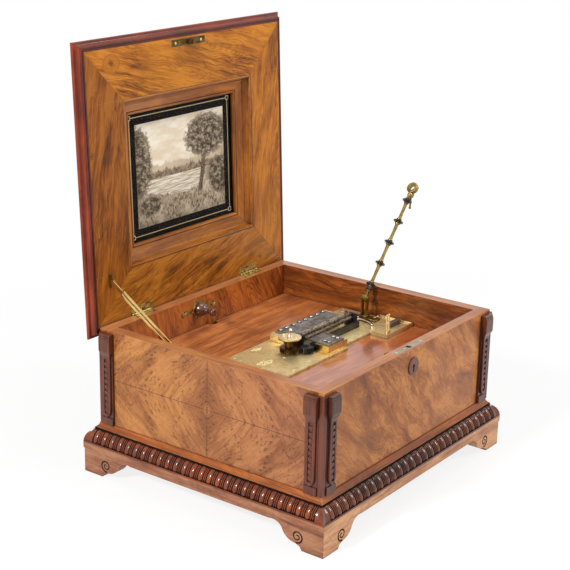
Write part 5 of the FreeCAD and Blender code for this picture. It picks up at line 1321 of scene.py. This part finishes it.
def setStage():
    form = {"reach": 12.0, "drop": -0.0002, "world": 0.33}
    white = (1, 1, 1, 1)
    tree, shader, where = startMaterial("paleFloor")
    feed(tree, shader, {"Base Color": (0.92, 0.92, 0.92, 1), "Roughness": 0.8, "Specular IOR Level": 0.1})
    glow = use(tree, "ShaderNodeEmission", {"Color": white})
    away = use(tree, "ShaderNodeVectorMath", {0: where}, "Value", operation="LENGTH")
    seen = times(tree, anyRay(tree, "Is Camera Ray", "Is Glossy Ray"), ramp(tree, away, 0.45, 1.3, 0.84, 1.0))
    mixed = mixShaders(tree, seen, tree.nodes["Principled BSDF"].outputs[0], glow)
    feed(tree, tree.nodes["Material Output"].inputs, {"Surface": mixed})
    mesh = bpy.data.meshes.new("floor")
    reach = form["reach"]
    mesh.from_pydata([(-reach, -reach, 0), (reach, -reach, 0), (reach, reach, 0), (-reach, reach, 0)],
                     [], [(0, 1, 2, 3)])
    mesh.materials.append(looks["paleFloor"])
    floor = placed("floor", mesh, Matrix.Translation((0, 0, form["drop"])))
    world = bpy.data.worlds.new("studio")
    bpy.context.scene.world = world
    world.use_nodes = True
    tree = world.node_tree
    plain = tree.nodes["Background"]
    feed(tree, plain.inputs, {"Color": white, "Strength": form["world"]})
    bright = use(tree, "ShaderNodeBackground", {"Color": white})
    seen = anyRay(tree, "Is Camera Ray", "Is Glossy Ray", "Is Transmission Ray")
    mixed = mixShaders(tree, seen, plain.outputs[0], bright)
    feed(tree, tree.nodes["World Output"].inputs, {"Surface": mixed})


def addLamp(name, place, aim, sides, power):
    lamp = bpy.data.lights.new(name, "AREA")
    lamp.shape = "RECTANGLE"
    lamp.size, lamp.size_y = sides
    lamp.energy = power
    thing = placed(name, lamp)
    thing.location = place
    thing.rotation_euler = (Vector(aim) - Vector(place)).to_track_quat("-Z", "Y").to_euler()


def setCamera():
    form = {"lens": 90.574, "sensor": 36.0, "place": (-1862.0013, -1327.1555, 1056.2367),
            "right": (0.59518366, -0.80333099, 0.02038959), "up": (0.23678333, 0.19956521, 0.95084561),
            "view": (0.7679128, 0.56109986, -0.30899334)}
    lens = bpy.data.cameras.new("camera")
    lens.lens = form["lens"]
    lens.sensor_width = form["sensor"]
    turn = Matrix((form["right"], form["up"], -Vector(form["view"]))).transposed().to_4x4()
    spot = caseCentre + Vector(form["place"]) * mm
    bpy.context.scene.camera = placed("camera", lens, Matrix.Translation(spot) @ turn)


setStage()
addLamp("keyLamp", (-2.4, 0.15, 1.75), (0, 0, 0.2), (0.3, 0.3), 72)
addLamp("fillLamp", (1.3, -2.0, 1.9), (0, 0, 0.3), (0.8, 0.8), 36)
addLamp("topLamp", (0.2, -0.3, 2.4), (0, 0, 0.2), (1.2, 1.2), 14)
setCamera()
bpy.context.scene.view_settings.view_transform = "Standard"
print("stage set")
